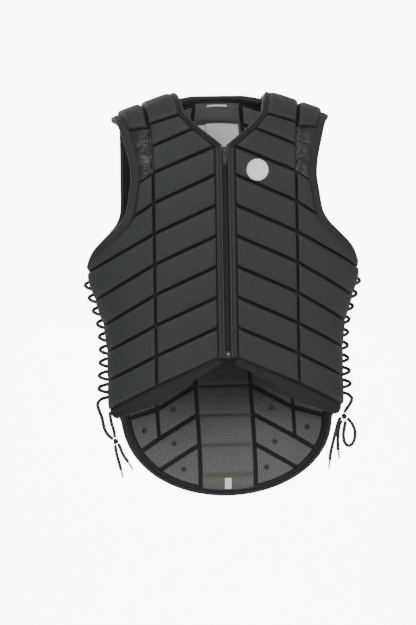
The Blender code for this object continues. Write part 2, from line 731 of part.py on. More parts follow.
def zip_parts():
    top, foot = FRONT_LINES[2][1] + 0.06, FRONT_LINES[-1][1]
    inner_edge = COIL_HALF + 2 * GAP
    outer_edge = ZIP_HALF - 2 * GAP
    facing_insets = (0.003, 0.003 + FACING_THICK)
    strip("zip_facing_left", (-outer_edge, -inner_edge), facing_insets, (top, foot), NYLON)
    strip("zip_facing_right", (inner_edge, outer_edge), facing_insets, (top, foot), NYLON)
    coil_top = 0.0055
    coil_insets = (coil_top, coil_top + COIL_THICK)
    box_top = foot - BOX_LENGTH / ROW_HEIGHT
    coil_rows = (top + 0.02, box_top - 0.01)
    strip("zip_coil", (-COIL_HALF, COIL_HALF), coil_insets, coil_rows, BINDING_COLOUR)
    slider_z = -(top + 0.02) * ROW_HEIGHT - 0.5 * SLIDER_LENGTH
    point = place(0.0, slider_z, FRONT, coil_top)
    slider_y = point.y - GAP - 0.5 * SLIDER_THICK
    zip_slider(slider_y, slider_z)
    bar = Vector((0.0, slider_y - 0.5 * SLIDER_THICK - 0.0017, slider_z + 0.0005))
    zip_pull(bar)
    box_z = -foot * ROW_HEIGHT + 0.5 * BOX_LENGTH
    box_y = place(0.0, box_z, FRONT, coil_top).y
    centre = Vector((0.0, box_y - 0.0009, box_z))
    size = Vector((2 * COIL_HALF, BOX_THICK, BOX_LENGTH))
    bevelled_box("zip_bottom_box", centre, size, 0.0008, METAL, 0.35, 0.9)


def box_shape(centre, size):
    shape = bmesh.new()
    bmesh.ops.create_cube(shape, size=1.0)
    bmesh.ops.scale(shape, vec=size, verts=shape.verts)
    bmesh.ops.translate(shape, vec=centre, verts=shape.verts)
    return shape


def bevelled_box(name, centre, size, bevel, colour, roughness, metallic):
    shape = box_shape(centre, size)
    bmesh.ops.bevel(shape, geom=shape.edges, offset=bevel, segments=1, profile=0.5,
                    affect="EDGES", material=-1)
    return keep_mesh(name, shape, colour, roughness, metallic)


def extruded(name, outline, axis_length, place_point, colour, roughness, metallic):
    """A flat outline pushed through a length; place_point maps (u, v, w) to a position."""
    shape = bmesh.new()
    loops = []
    for w in (-0.5 * axis_length, 0.5 * axis_length):
        loops.append([shape.verts.new(place_point(u, v, w)) for u, v in outline])
    count = len(outline)
    for index in range(count):
        other = (index + 1) % count
        shape.faces.new([loops[0][index], loops[0][other], loops[1][other], loops[1][index]])
    shape.faces.new(loops[0])
    shape.faces.new(list(reversed(loops[1])))
    return keep_mesh(name, shape, colour, roughness, metallic)


def zip_slider(y, z):
    """A slider whose side outline is a body with an arched bail in front for the pull's bar."""
    face = 0.5 * SLIDER_THICK
    bail_height = 0.0042
    bail_half = 0.0042
    wall = 0.0011
    body = box_shape(Vector((0.0, y, z)), Vector((SLIDER_WIDTH, SLIDER_THICK, SLIDER_LENGTH)))
    bmesh.ops.bevel(body, geom=body.edges, offset=0.0007, segments=1, profile=0.5,
                    affect="EDGES", material=-1)
    slider = keep_mesh("zip_slider", body, METAL, 0.35, 0.9)
    sunk = face - 0.0008
    outline = [
        (sunk, bail_half), (face + 0.6 * bail_height, bail_half),
        (face + bail_height, 0.6 * bail_half), (face + bail_height, -0.6 * bail_half),
        (face + 0.6 * bail_height, -bail_half), (sunk, -bail_half), (sunk, -bail_half + wall),
        (face + 0.5 * bail_height, -bail_half + wall),
        (face + bail_height - wall, -0.5 * bail_half), (face + bail_height - wall, 0.5 * bail_half),
        (face + 0.5 * bail_height, bail_half - wall), (sunk, bail_half - wall),
    ]
    bail = extruded("slider_bail", outline, 0.0018,
                    lambda u, v, w: Vector((w, y - u, z + v)), METAL, 0.35, 0.9)
    joined = slider.modifiers.new("with its bail", "BOOLEAN")
    joined.operation = "UNION"
    joined.object = bail
    bail.hide_render = True
    bail.display_type = "WIRE"


def zip_pull(bar):
    """A stamped tab with a window at its top, hung by the window's upper bar."""
    half = 0.5 * PULL_WIDTH
    leg = 0.0014
    outline = [
        (-0.7 * half, 0.0008), (0.7 * half, 0.0008), (half, -0.001), (half, -0.8 * PULL_LENGTH),
        (0.6 * half, -PULL_LENGTH), (-0.6 * half, -PULL_LENGTH), (-half, -0.8 * PULL_LENGTH),
        (-half, -0.001),
    ]
    pull = extruded("zip_pull", outline, PULL_THICK,
                    lambda u, v, w: Vector((bar.x + u, bar.y + w, bar.z + v)), METAL, 0.4, 0.9)
    window_height = 0.0062
    centre = Vector((bar.x, bar.y, bar.z - 0.0008 - 0.5 * window_height))
    size = Vector((2 * (half - leg), 4 * PULL_THICK, window_height))
    cutter_data = bpy.data.meshes.new("pull_window")
    cutter_shape = box_shape(centre, size)
    cutter_shape.to_mesh(cutter_data)
    cutter_shape.free()
    cutter = bpy.data.objects.new("pull_window", cutter_data)
    bpy.context.scene.collection.objects.link(cutter)
    cutter.hide_render = True
    cutter.display_type = "WIRE"
    cut = pull.modifiers.new("window", "BOOLEAN")
    cut.operation = "DIFFERENCE"
    cut.object = cutter


def chest_patch():
    """A round sewn patch on the wearer's left chest."""
    centre_x, centre_z = 0.227 * CHEST_HALF, -2.367 * ROW_HEIGHT
    sides = 24
    shape = bmesh.new()
    layers = []
    for inset in (-GAP - 0.0002, -GAP - 0.0002 - PATCH_THICK):
        ring = []
        for step in range(sides):
            turn = 2 * math.pi * step / sides
            x = centre_x + PATCH_HALF * math.cos(turn)
            z = centre_z + PATCH_HALF * math.sin(turn)
            ring.append(shape.verts.new(place(x, z, FRONT, inset)))
        middle = shape.verts.new(place(centre_x, centre_z, FRONT, inset))
        layers.append((ring, middle))
    for ring, middle in layers:
        for step in range(sides):
            shape.faces.new([ring[step], ring[(step + 1) % sides], middle])
    for step in range(sides):
        other = (step + 1) % sides
        under, over = layers[0][0], layers[1][0]
        shape.faces.new([under[step], under[other], over[other], over[step]])
    keep_mesh("chest_patch", shape, WHITE)


def lining_point(x, z, lift):
    """A point over the lining of the spine column, which is flat between its grid's lines."""
    heights = [-row[0] * ROW_HEIGHT for row in BACK_LINES]
    index = 0
    while index < len(heights) - 2 and heights[index + 1] > z:
        index += 1
    edge = math.copysign(SPINE * CHEST_HALF, x)
    share = x / edge
    depth = FOAM + GAP + LINING + lift
    fall = (z - heights[index]) / (heights[index + 1] - heights[index])
    ends = []
    for height in heights[index:index + 2]:
        foot = tail_edge(edge) if height == heights[-1] else height
        middle = place(0.0, height, BACK, depth)
        outside = place(edge, foot, BACK, depth)
        ends.append((middle, outside) if x >= 0 else (outside, middle))
    across = share if x >= 0 else 1 - share
    (start, start_far), (end, end_far) = ends
    if across >= fall:
        return start + (start_far - start) * across + (end_far - start_far) * fall
    return start + (end - start) * fall + (end_far - end) * across


def inside_label(name, x_edges, z_edges, across, down, thick=LABEL_THICK):
    """A label sewn flat on the lining, creased where the lining's middle line runs."""
    lift = 3 * GAP
    columns = [mix(x_edges[0], x_edges[1], share / across) for share in range(across + 1)]
    if columns[0] < 0.0 < columns[-1]:
        nearest = min(columns[1:-1], key=abs)
        columns[columns.index(nearest)] = 0.0
    outer, inner = {}, {}
    for j in range(down + 1):
        z = mix(z_edges[0], z_edges[1], j / down)
        for i, x in enumerate(columns):
            outer[i, j] = lining_point(x, z, lift)
            inner[i, j] = lining_point(x, z, lift + thick)
    cells = [(i, j) for i in range(across) for j in range(down)]
    plain = list(range(max(across, down) + 1))
    sheet_solid(name, outer, inner, cells, plain, plain, WHITE)


def labels():
    """Labels and tags on the lining; heights are those of the outer face behind them."""
    top = -LABEL_TOP * ROW_HEIGHT
    neck_x = (LABEL_LEFT, LABEL_LEFT + LABEL_WIDTH)
    inside_label("neck_label", neck_x, (top, top - LABEL_LENGTH), 4, 3)
    care_x = (LABEL_LEFT - 0.001 - CARE_WIDTH, LABEL_LEFT - 0.001)
    inside_label("care_label", care_x, (top - 0.002, top - 0.002 - CARE_LENGTH), 2, 2)
    hanger_top = HANGER_TOP * ROW_HEIGHT
    hanger_heights = (hanger_top, hanger_top - HANGER_HEIGHT)
    inside_label("hanger_tag", (-HANGER_HALF, HANGER_HALF), hanger_heights, 2, 1, HANGER_THICK)
    tag_foot = tail_edge(0.0) + 0.002
    tag_half = 0.5 * TAG_WIDTH
    inside_label("tail_tag", (-tag_half, tag_half), (tag_foot + TAG_LENGTH, tag_foot), 2, 1)


def cord(name, points, diameter, colour=LACE_BLACK):
    """A round cord through points that lie two to three diameters apart."""
    data = bpy.data.curves.new(name, "CURVE")
    data.dimensions = "3D"
    data.bevel_depth = 0.5 * diameter
    data.bevel_resolution = 2
    data.use_fill_caps = True
    spline = data.splines.new("POLY")
    spline.points.add(len(points) - 1)
    for target, point in zip(spline.points, points):
        target.co = (*point, 1.0)
    return keep_object(name, data, colour)


def lace_bulge(share):
    for start, end in zip(LACE_BULGE[:-1], LACE_BULGE[1:]):
        if share <= end[0]:
            return mix(start[1], end[1], (share - start[0]) / (end[0] - start[0]))
    return LACE_BULGE[-1][1]


def eyelet_line(rows):
    """Distance from the middle of the body to the line of the eyelets at a side."""
    return body_section(rows)[0] * SIDE_SHARE - 0.5 * (FOAM + GROOVE_DEPTH) + 0.001


def side_lacing(label, side):
    """Scalloped cords along both edges and a lace that winds through their eyelets."""
    turn_height = (LACE_BOTTOM - LACE_TOP) / LACE_TURNS
    for facing, word in ((FRONT, "front"), (BACK, "back")):
        points = []
        phase = 0.5 if facing == FRONT else 0.0
        for turn in range(LACE_TURNS):
            middle = LACE_TOP + (turn + phase) * turn_height
            for y, shift in ((EYELET_ROOT, -0.5), (EYELET_TIP, 0.0)):
                rows = middle + shift * turn_height
                points.append((side * eyelet_line(rows), facing * y, -rows * ROW_HEIGHT))
        rows = middle + 0.5 * turn_height
        points.append((side * eyelet_line(rows), facing * EYELET_ROOT, -rows * ROW_HEIGHT))
        cord(f"edge_loops_{word}_{label}", points, LOOP_CORD)
    points = []
    steps = 6
    for step in range(LACE_TURNS * steps - 4):
        turns = step / steps
        rows = LACE_TOP + turns * turn_height
        turn = 2 * math.pi * turns
        out = math.sin(turn)
        edge = body_section(rows)[0]
        line = eyelet_line(rows)
        reach = edge + lace_bulge(turns / LACE_TURNS) - line
        x = line + (reach if out > 0 else LACE_INSIDE) * out
        points.append((side * x, LACE_REACH * math.cos(turn), -rows * ROW_HEIGHT))
    cord(f"side_lace_{label}", points + LACE_EXITS[label], LACE)


def knot(label):
    """The tied lump that the bow and the ends come out of."""
    shape = bmesh.new()
    bmesh.ops.create_uvsphere(shape, u_segments=10, v_segments=6, radius=1.0)
    bmesh.ops.scale(shape, vec=Vector(KNOT_RADII), verts=shape.verts)
    bmesh.ops.translate(shape, vec=Vector(KNOTS[label]), verts=shape.verts)
    keep_mesh(f"lace_knot_{label}", shape, LACE_BLACK)


def aglet(name, points):
    """The plastic tip beyond a lace's end, in line with its last stretch."""
    end = Vector(points[-1])
    along = (end - Vector(points[-2])).normalized()
    start = end + along * GAP
    cord(name, [tuple(start), tuple(start + along * AGLET_LENGTH)], AGLET_DIAMETER)


def free_laces():
    cord("lace_strand_left", LEFT_STRAND, LACE)
    cord("lace_bow_right", RIGHT_BOW, LACE)
    ends = {"left_long": LEFT_LONG, "left_short": LEFT_SHORT,
            "right_long": RIGHT_LONG, "right_short": RIGHT_SHORT}
    for label, points in ends.items():
        cord(f"lace_end_{label}", points, LACE)
        aglet(f"aglet_{label}", points)
    knot("left")
    knot("right")


def main():
    for item in list(bpy.data.objects):
        bpy.data.objects.remove(item, do_unlink=True)
    back_panel()
    back_lining()
    back_edge_binding()
    for label, side in (("left", -1), ("right", 1)):
        front_panel(f"front_panel_{label}", side)
        front_edge_binding(f"front_edge_binding_{label}", side)
        armhole_band(f"armhole_band_{label}", side)
        gathered_insert(f"gathered_insert_{label}", side)
        for kind in PADS:
            shoulder_pad(f"shoulder_pad_{kind}_{label}", side, kind)
        side_lacing(label, side)
    neck_binding()
    zip_parts()
    chest_patch()
    labels()
    free_laces()


main()
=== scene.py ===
"""The riding vest's looks: quilted nylon over foam, rolled bindings, mesh lining, zip and laces.

Metres, +Z up, the front faces -Y. Heights in the tables count rows of quilting down from the
shoulders, and widths are shares of half the chest's width, as in the part's own source.
"""
import math

import bmesh
import bpy
from mathutils import Matrix, Vector, noise


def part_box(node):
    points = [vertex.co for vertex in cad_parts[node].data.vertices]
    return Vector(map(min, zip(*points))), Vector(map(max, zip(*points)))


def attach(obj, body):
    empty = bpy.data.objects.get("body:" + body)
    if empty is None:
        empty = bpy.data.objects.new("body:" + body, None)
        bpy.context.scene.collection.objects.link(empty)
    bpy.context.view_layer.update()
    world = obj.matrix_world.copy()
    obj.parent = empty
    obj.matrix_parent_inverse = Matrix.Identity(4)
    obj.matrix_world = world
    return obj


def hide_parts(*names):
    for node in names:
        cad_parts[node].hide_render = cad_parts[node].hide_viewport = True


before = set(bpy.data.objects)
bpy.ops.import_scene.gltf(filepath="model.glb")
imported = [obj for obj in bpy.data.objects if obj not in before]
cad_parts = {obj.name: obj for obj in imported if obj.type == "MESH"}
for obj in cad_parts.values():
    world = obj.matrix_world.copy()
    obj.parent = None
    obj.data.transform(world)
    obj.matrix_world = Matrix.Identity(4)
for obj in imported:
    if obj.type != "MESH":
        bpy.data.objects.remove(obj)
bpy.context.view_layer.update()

# Sizes of the vest, as in the part's source
CHEST_HALF = 0.222          # half the chest's width at the armholes' foot
CHEST_DEPTH = 0.100         # middle of the body to the chest
ROW_HEIGHT = 0.0476         # one row of quilting
FOAM = 0.016                # thickness of a panel
GROOVE_DEPTH = 0.0065       # how deep its stitched channels are
LINING = 0.0014
GAP = 0.0003                # between neighbours
SHOULDER_DROP = 0.140
NECK_BINDING = 0.0085
ARMHOLE_BAND = 0.015
EDGE_BINDING = 0.005
HEM_BAND = (0.010, 0.017, 0.026, 0.023, 0.017)
TAIL_BINDING = 0.0105
BINDING_THICK = 0.0125
WALL_MIDDLE = 0.5 * (FOAM + GROOVE_DEPTH)
NECK_INSET = 0.0085
TAIL_SWAY = 0.008
SWAY_START = 8.0
SWAY_ROWS = 4.5
LACE = 0.005
LOOP_CORD = 0.003
LACE_TURNS = 10
AGLET_LENGTH = 0.014
AGLET_DIAMETER = 0.0026
ZIP_HALF = 0.0145
COIL_HALF = 0.0046
PATCH_HALF = 0.0172
ROUNDNESS = 2.3
ARCH = 2.4
SIDE_SHARE = 0.9835
CREST_START = 0.392
CREST_RISE = 0.328
CREST_SLOPE = 0.36
CREST_CURVE = 8.0
CREST_ROUND = 0.035
FRONT, BACK = -1, 1
ZIP_BOX_HEIGHT = 0.0105
PATCH_PLACE = (0.227, 2.367)    # width and rows down of the round patch's middle
SEAM_SHARE = 0.5225             # the back's seam beside the spine

# The cloth's own forms, in metres
SEAM_WIDTH = 0.0023         # reach of the stitching's pull
ROW_SLANT = 0.88            # a row's slanted seam is this much nearer than straight down
PUCKER = 0.0005             # small folds beside a seam
DENT = 0.0010               # broad soft dents in a block
NEAR_SEAM = (0.0, 0.0007, 0.0015, 0.0026, 0.0042, 0.0066, 0.0100)
COLUMN_WIDTHS = (0.098, 0.100)  # widths that set how fine the grid's columns are
FINE_STEP = 0.006
BINDING_STEP = 0.004
LINING_PUFF = 0.0028        # how far the lining's blocks swell inwards
CORD_PARTS = 5              # pieces of line between two points of a free lace
SCALLOP_PARTS = 14          # pieces of line in one scallop
BRAID_SWELL = 1.07          # the braid's strands stand out from the lace by this
TOOTH_PITCH = 0.0016
TOOTH_SIZE = (0.0046, 0.0017, 0.00105)
TOOTH_BESIDE = 0.0019       # middle of the zip to the middle of a tooth
LABELS = {                  # node, left and right edge, top below the neck's line, height
    "name_label": ("neck_label", (-0.0205, 0.0395), 0.0, 0.044),
    "washing_label": ("care_label", (-0.0375, -0.0215), 0.002, 0.028),
}
LABEL_ROWS = 0.47           # rows down to the labels' top
HANGER_ROWS = 0.256         # rows up to the hanging loop's top
HANGER_HALF, HANGER_HEIGHT = 0.0225, 0.0034
TAIL_LABEL_HALF, TAIL_LABEL_HEIGHT, TAIL_LABEL_LIFT = 0.0055, 0.018, 0.002
VENT_RADII = (0.0046, 0.0038)
VENT_HEIGHT = 0.0022
NYLON_DARK, NYLON_LIGHT = 0.008, 0.028

# Stage, lights and camera
FLOOR = -1.9
WORLD = 0.42
STAGE_GLOW = 8.0
STAGE_BEND = 1.3            # radius of the bend from floor to backdrop
LENS, SENSOR = 144.7, 36.0
CAMERA_AIM = (-0.0247, 0.0, -0.333)
CAMERA_AWAY = 4.0
CAMERA_YAW, CAMERA_ROLL = 3.5, -1.1     # degrees
LIGHT_AIM = (0.0, 0.0, -0.32)
LIGHTS = (                  # name, place, width in metres, watts
    ("key_softbox", (-1.6, -3.4, 1.6), 2.4, 85),
    ("fill_softbox", (2.4, -3.0, 0.4), 2.4, 45),
    ("top_softbox", (0.2, 0.2, 2.8), 2.0, 12),
    ("back_softbox", (-1.6, 3.8, 1.2), 2.4, 45),
)
VENTS = (                   # x and z of the vents in the tail's lining
    (-0.1374, -0.5215), (-0.0836, -0.4887), (-0.0836, -0.5434), (-0.0672, -0.5855),
    (0.0834, -0.4879), (0.0881, -0.5434), (0.0733, -0.5855), (0.1443, -0.5199),
)
FINISH = {}

# Body sections: rows down, half width, front depth and back depth
BODY = [
    (-1.0, 1.100, 1.00, 1.00),
    (0.0, 1.090, 1.00, 1.00),
    (3.0, 1.040, 1.03, 1.00),
    (5.0, 1.003, 1.01, 0.96),
    (5.63, 0.996, 1.00, 0.95),
    (6.53, 0.946, 0.98, 0.93),
    (7.37, 0.890, 0.96, 0.92),
    (8.24, 0.868, 0.94, 0.92),
    (9.19, 0.866, 0.93, 0.94),
    (10.2, 0.867, 0.93, 0.97),
    (11.6, 0.872, 0.94, 1.01),
    (13.2, 0.880, 0.95, 1.05),
]
# Front rows: zip or neck end (width, rows), seam (width, rows), outer end (width, rows), groove
# A width of None is the zip's edge in the first pair and the side's edge in the last
FRONT_LINES = [
    (0.315, 0.460, 0.527, 0.756, None, None, True),
    (0.221, 0.966, 0.516, 1.523, None, None, True),
    (None, 1.565, 0.507, 2.405, 0.604, 2.710, True),
    (None, 2.494, 0.507, 3.403, 0.653, 3.845, True),
    (None, 2.744, 0.507, 3.653, 0.721, 4.307, False),
    (None, 2.994, 0.507, 3.903, 0.833, 4.748, False),
    (None, 3.244, 0.507, 4.153, 0.932, 5.168, False),
    (None, 3.494, 0.507, 4.403, None, 5.600, True),
    (None, 4.494, 0.507, 5.403, None, 6.534, True),
    (None, 5.494, 0.507, 6.403, None, 7.374, True),
    (None, 6.494, 0.507, 7.403, None, 8.235, True),
    (None, 7.494, 0.507, 8.403, None, 9.193, True),
    (None, 8.494, 0.509, 9.380, None, 10.130, True),
]
# Back rows: spine (rows), seam (width, rows), outer end (width, rows), groove
SPINE = 0.2095
BACK_LINES = [
    (-0.284, 0.5225, 0.150, 0.667, 0.550, True),
    (0.452, 0.5225, 1.240, 0.664, 1.576, True),
    (1.452, 0.5225, 2.240, 0.664, 2.563, True),
    (2.452, 0.5225, 3.240, 0.676, 3.780, True),
    (2.702, 0.5225, 3.490, 0.734, 4.265, False),
    (2.952, 0.5225, 3.740, 0.842, 4.748, False),
    (3.202, 0.5225, 3.990, 0.937, 5.168, False),
    (3.452, 0.5225, 4.240, None, 5.600, True),
    (4.452, 0.5225, 5.240, None, 6.534, True),
    (5.452, 0.5225, 6.240, None, 7.374, True),
    (6.452, 0.5225, 7.240, None, 8.235, True),
    (7.452, 0.5225, 8.240, None, 9.193, True),
    (8.452, 0.5225, 9.240, None, 10.020, True),
    (9.452, 0.5225, 10.240, 0.757, 10.504, True),
    (10.452, 0.5225, 11.240, 0.676, 11.650, True),
    (11.480, 0.5135, 12.270, 0.536, 12.310, True),
    (12.520, 0.5120, 12.330, None, None, True),
    (13.056, 0.5050, 12.400, None, None, True),
]
TAIL_CENTRE = 10.504        # rows down to the middle of the tail's half ellipse
TAIL_HALF = 0.757           # its half width
TAIL_DROP = 2.5525          # its height in rows
LAST_SIDE_LINE = 15         # the back's side columns end on this line
LAST_SEAM_LINE = 14         # below this line the back has no seam beside the spine

# Shoulder pads: edges at the crest, then the front and back ends (width, rows) twice
PADS = {
    "inner": ((0.374, 0.568), ((0.318, 0.435), (0.525, 0.725)), ((0.345, -0.139), (0.520, 0.105))),
    "outer": ((0.583, 0.738), ((0.5405, 0.850), (0.671, 0.890)), ((0.535, 0.143), (0.664, 0.500))),
}
# Gathered insert under the outer pad: rows down at its inner and outer edge, width there, fold
GATHERS = [
    (0.880, 0.920, 0.533, 0.669, 0.30),
    (1.100, 1.170, 0.529, 0.655, 0.95),
    (1.330, 1.430, 0.526, 0.640, 0.35),
    (1.560, 1.690, 0.522, 0.625, 1.00),
    (1.840, 2.020, 0.519, 0.613, 0.30),
    (2.120, 2.340, 0.516, 0.605, 0.90),
    (2.390, 2.650, 0.514, 0.601, 0.25),
]
GATHER_THICK = 0.010

# How far the lace bulges past the side's edge: share of the way down, metres
LACE_BULGE = [(0.0, 0.0020), (0.35, 0.0030), (0.6, 0.0055), (0.8, 0.0090), (1.0, 0.0080)]
LACE_TOP, LACE_BOTTOM = 5.86, 10.16         # rows down of the first and last turn
LACE_REACH = 0.0098                         # how far the lace reaches front and back
LACE_INSIDE = 0.0100                        # how far it passes inside the eyelets
EYELET_TIP = 0.0038                         # middle of the gap to the tip of an eyelet
EYELET_ROOT = 0.0103                        # middle of the gap to the root of an eyelet

# Free laces, listed points: x away from the middle, y, z
KNOT_RADII = (0.0046, 0.0052, 0.0050)
KNOTS = {"left": (-0.1755, 0.000, -0.5350), "right": (0.1900, 0.000, -0.5030)}
LACE_EXITS = {
    "left": [(-0.2030, 0.001, -0.4745), (-0.2010, 0.000, -0.4850), (-0.1965, -0.001, -0.4970),
             (-0.1945, -0.002, -0.5080), (-0.1915, -0.002, -0.5180), (-0.1860, -0.001, -0.5260),
             (-0.1795, 0.000, -0.5312)],
    "right": [(0.2030, 0.001, -0.4745), (0.1995, 0.000, -0.4835), (0.1935, -0.001, -0.4915),
              (0.1904, 0.000, -0.4968)],
}
LEFT_STRAND = [
    (-0.1765, 0.001, -0.5285), (-0.1780, 0.003, -0.5180), (-0.1812, 0.005, -0.5070),
    (-0.1830, 0.007, -0.4970), (-0.1835, 0.0085, -0.4880),
]
LEFT_LONG = [
    (-0.1762, 0.001, -0.5405), (-0.1755, 0.001, -0.5480), (-0.1738, 0.000, -0.5570),
    (-0.1712, -0.001, -0.5670), (-0.1690, -0.001, -0.5760), (-0.1680, 0.000, -0.5800),
]
LEFT_SHORT = [
    (-0.1712, -0.0031, -0.5385), (-0.1682, -0.005, -0.5460), (-0.1655, -0.005, -0.5530),
    (-0.1618, -0.004, -0.5600), (-0.1575, -0.003, -0.5665), (-0.1562, -0.003, -0.5685),
]
RIGHT_BOW = [
    (0.1946, 0.000, -0.5059), (0.2010, -0.001, -0.5130), (0.2060, -0.002, -0.5240),
    (0.2065, -0.002, -0.5350), (0.2030, -0.001, -0.5455), (0.1965, 0.001, -0.5500),
    (0.1905, 0.002, -0.5450), (0.1885, 0.003, -0.5330), (0.1905, 0.003, -0.5200),
    (0.1925, 0.003, -0.5105),
]
RIGHT_LONG = [
    (0.1842, -0.0027, -0.5043), (0.1800, -0.006, -0.5110), (0.1765, -0.010, -0.5210),
    (0.1725, -0.012, -0.5340), (0.1690, -0.012, -0.5470), (0.1660, -0.011, -0.5600),
    (0.1645, -0.010, -0.5720),
]
RIGHT_SHORT = [
    (0.1855, -0.0005, -0.5093), (0.1822, -0.001, -0.5165), (0.1800, -0.0015, -0.5270),
    (0.1790, -0.002, -0.5380), (0.1788, -0.002, -0.5490), (0.1795, -0.002, -0.5570),
]


def mix(start, end, share):
    """The number a share of the way from start to end."""
    return start + (end - start) * share


def mix_all(start, end, share):
    return tuple(mix(a, b, share) for a, b in zip(start, end))


def signed_power(value, power):
    return math.copysign(abs(value) ** power, value)


def curve_through(values, at):
    """Smooth value at a position along evenly numbered tuples or vectors."""
    last = len(values) - 1
    index = min(max(int(at), 0), last - 1)
    share = at - index
    before = values[max(index - 1, 0)]
    start = values[index]
    end = values[index + 1]
    after = values[min(index + 2, last)]
    result = []
    for a, b, c, d in zip(before, start, end, after):
        cubic = (3 * b - 3 * c + d - a) * share ** 3 + (2 * a - 5 * b + 4 * c - d) * share ** 2
        result.append(b + 0.5 * ((c - a) * share + cubic))
    return result


def body_section(rows):
    """Half width, front depth and back depth in metres at a height in rows down."""
    index = 0
    while index < len(BODY) - 2 and BODY[index + 1][0] < rows:
        index += 1
    span = BODY[index + 1][0] - BODY[index][0]
    share = min(max((rows - BODY[index][0]) / span, 0.0), 1.0)
    width, front, back = curve_through([row[1:] for row in BODY], index + share)
    return width * CHEST_HALF, front * CHEST_DEPTH, back * CHEST_DEPTH


def crest(x):
    """Height of the shoulder line, which falls towards the arm."""
    outwards = math.hypot(x, CREST_ROUND) - math.hypot(CREST_START * CHEST_HALF, CREST_ROUND)
    steeper = CREST_CURVE * min(outwards, 0.0) ** 2
    return CREST_RISE * ROW_HEIGHT - CREST_SLOPE * outwards + steeper


def sway(rows):
    """How far the tail hangs to one side."""
    share = min(max((rows - SWAY_START) / SWAY_ROWS, 0.0), 1.0)
    return TAIL_SWAY * share * share * (3 - 2 * share)


def arch_point(x, lean):
    """A point on the shoulder; lean is the angle from the crest, below zero at the front."""
    fall = SHOULDER_DROP * (1 - max(math.cos(lean), 0.0) ** (2 / ARCH))
    z = crest(x) - fall
    half, front, back = body_section(-z / ROW_HEIGHT)
    depth = back if lean > 0 else front
    side = (1 - min(abs(x) / half, 0.999) ** ROUNDNESS) ** (1 / ROUNDNESS)
    return Vector((x, depth * side * signed_power(math.sin(lean), 2 / ARCH), z))


def wall_point(angle, z, facing):
    """A point on the body below the shoulders; the angle runs from the middle to the side."""
    half, front, back = body_section(-z / ROW_HEIGHT)
    depth = back if facing == BACK else front
    x = half * signed_power(math.sin(angle), 2 / ROUNDNESS)
    y = facing * depth * max(math.cos(angle), 0.0) ** (2 / ROUNDNESS)
    if facing == BACK:
        x += sway(-z / ROW_HEIGHT)
    return Vector((x, y, z))


def angle_of(x, z):
    half = body_section(-z / ROW_HEIGHT)[0]
    return math.asin(max(-1.0, min(1.0, signed_power(x / half, ROUNDNESS / 2))))


def surface(x, z, facing):
    """The vest's outer face at x and z: the point and the direction pointing out of it."""
    fall = (crest(x) - z) / SHOULDER_DROP
    step = 1e-3
    if fall < 1:
        lean = facing * math.acos(min(max(1 - fall, 0.0), 1.0) ** (ARCH / 2))
        point = arch_point(x, lean)
        along = arch_point(x, lean + step) - arch_point(x, lean - step)
        across = arch_point(x + step, lean) - arch_point(x - step, lean)
    else:
        angle = angle_of(x, z)
        point = wall_point(angle, z, facing)
        along = wall_point(angle, z + step, facing) - wall_point(angle, z - step, facing)
        across = wall_point(angle + step, z, facing) - wall_point(angle - step, z, facing)
    out = along.cross(across).normalized()
    inside = Vector((0.5 * x, 0.0, z - 0.03))
    return point, out if out.dot(point - inside) > 0 else -out


def point_in_column(left, right, share):
    """Go a share of the way round the body between two ends of a row line."""
    start = angle_of(left[0], left[1])
    end = angle_of(right[0], right[1])
    power = 2 / ROUNDNESS
    low = signed_power(math.sin(start), power)
    high = signed_power(math.sin(end), power)
    here = signed_power(math.sin(mix(start, end, share)), power)
    part = (here - low) / (high - low)
    return mix(left[0], right[0], part), mix(left[1], right[1], part)


def side_edge(rows):
    """Distance from the middle to a panel's laced edge."""
    return SIDE_SHARE * body_section(rows)[0]


def front_line(row):
    """Ends of a front row in metres: zip or neck, seam and side."""
    start_x = ZIP_HALF if row[0] is None else row[0] * CHEST_HALF
    ends = [(start_x, -row[1] * ROW_HEIGHT), (row[2] * CHEST_HALF, -row[3] * ROW_HEIGHT)]
    if row[5] is None:
        ends.append(ends[-1])
    else:
        side_x = side_edge(row[5]) if row[4] is None else row[4] * CHEST_HALF
        ends.append((side_x, -row[5] * ROW_HEIGHT))
    return ends


def back_line(row):
    """Ends of a back row in metres: spine twice, seam and side."""
    ends = [(0.0, -row[0] * ROW_HEIGHT), (SPINE * CHEST_HALF, -row[0] * ROW_HEIGHT)]
    ends.append((row[1] * CHEST_HALF, -row[2] * ROW_HEIGHT))
    if row[4] is None:
        ends.append(ends[-1])
    else:
        side_x = side_edge(row[4]) if row[3] is None else row[3] * CHEST_HALF
        ends.append((side_x, -row[4] * ROW_HEIGHT))
    return ends


def tail_edge(x):
    """Height of the tail's lower edge."""
    share = min(abs(x) / (TAIL_HALF * CHEST_HALF), 1.0)
    return -ROW_HEIGHT * (TAIL_CENTRE + TAIL_DROP * math.sqrt(1 - share * share))


def lean_at(x, rows, facing):
    """The shoulder's angle at x and a height."""
    fall = (crest(x) + rows * ROW_HEIGHT) / SHOULDER_DROP
    return facing * math.acos(min(max(1 - fall, 0.0), 1.0) ** (ARCH / 2))


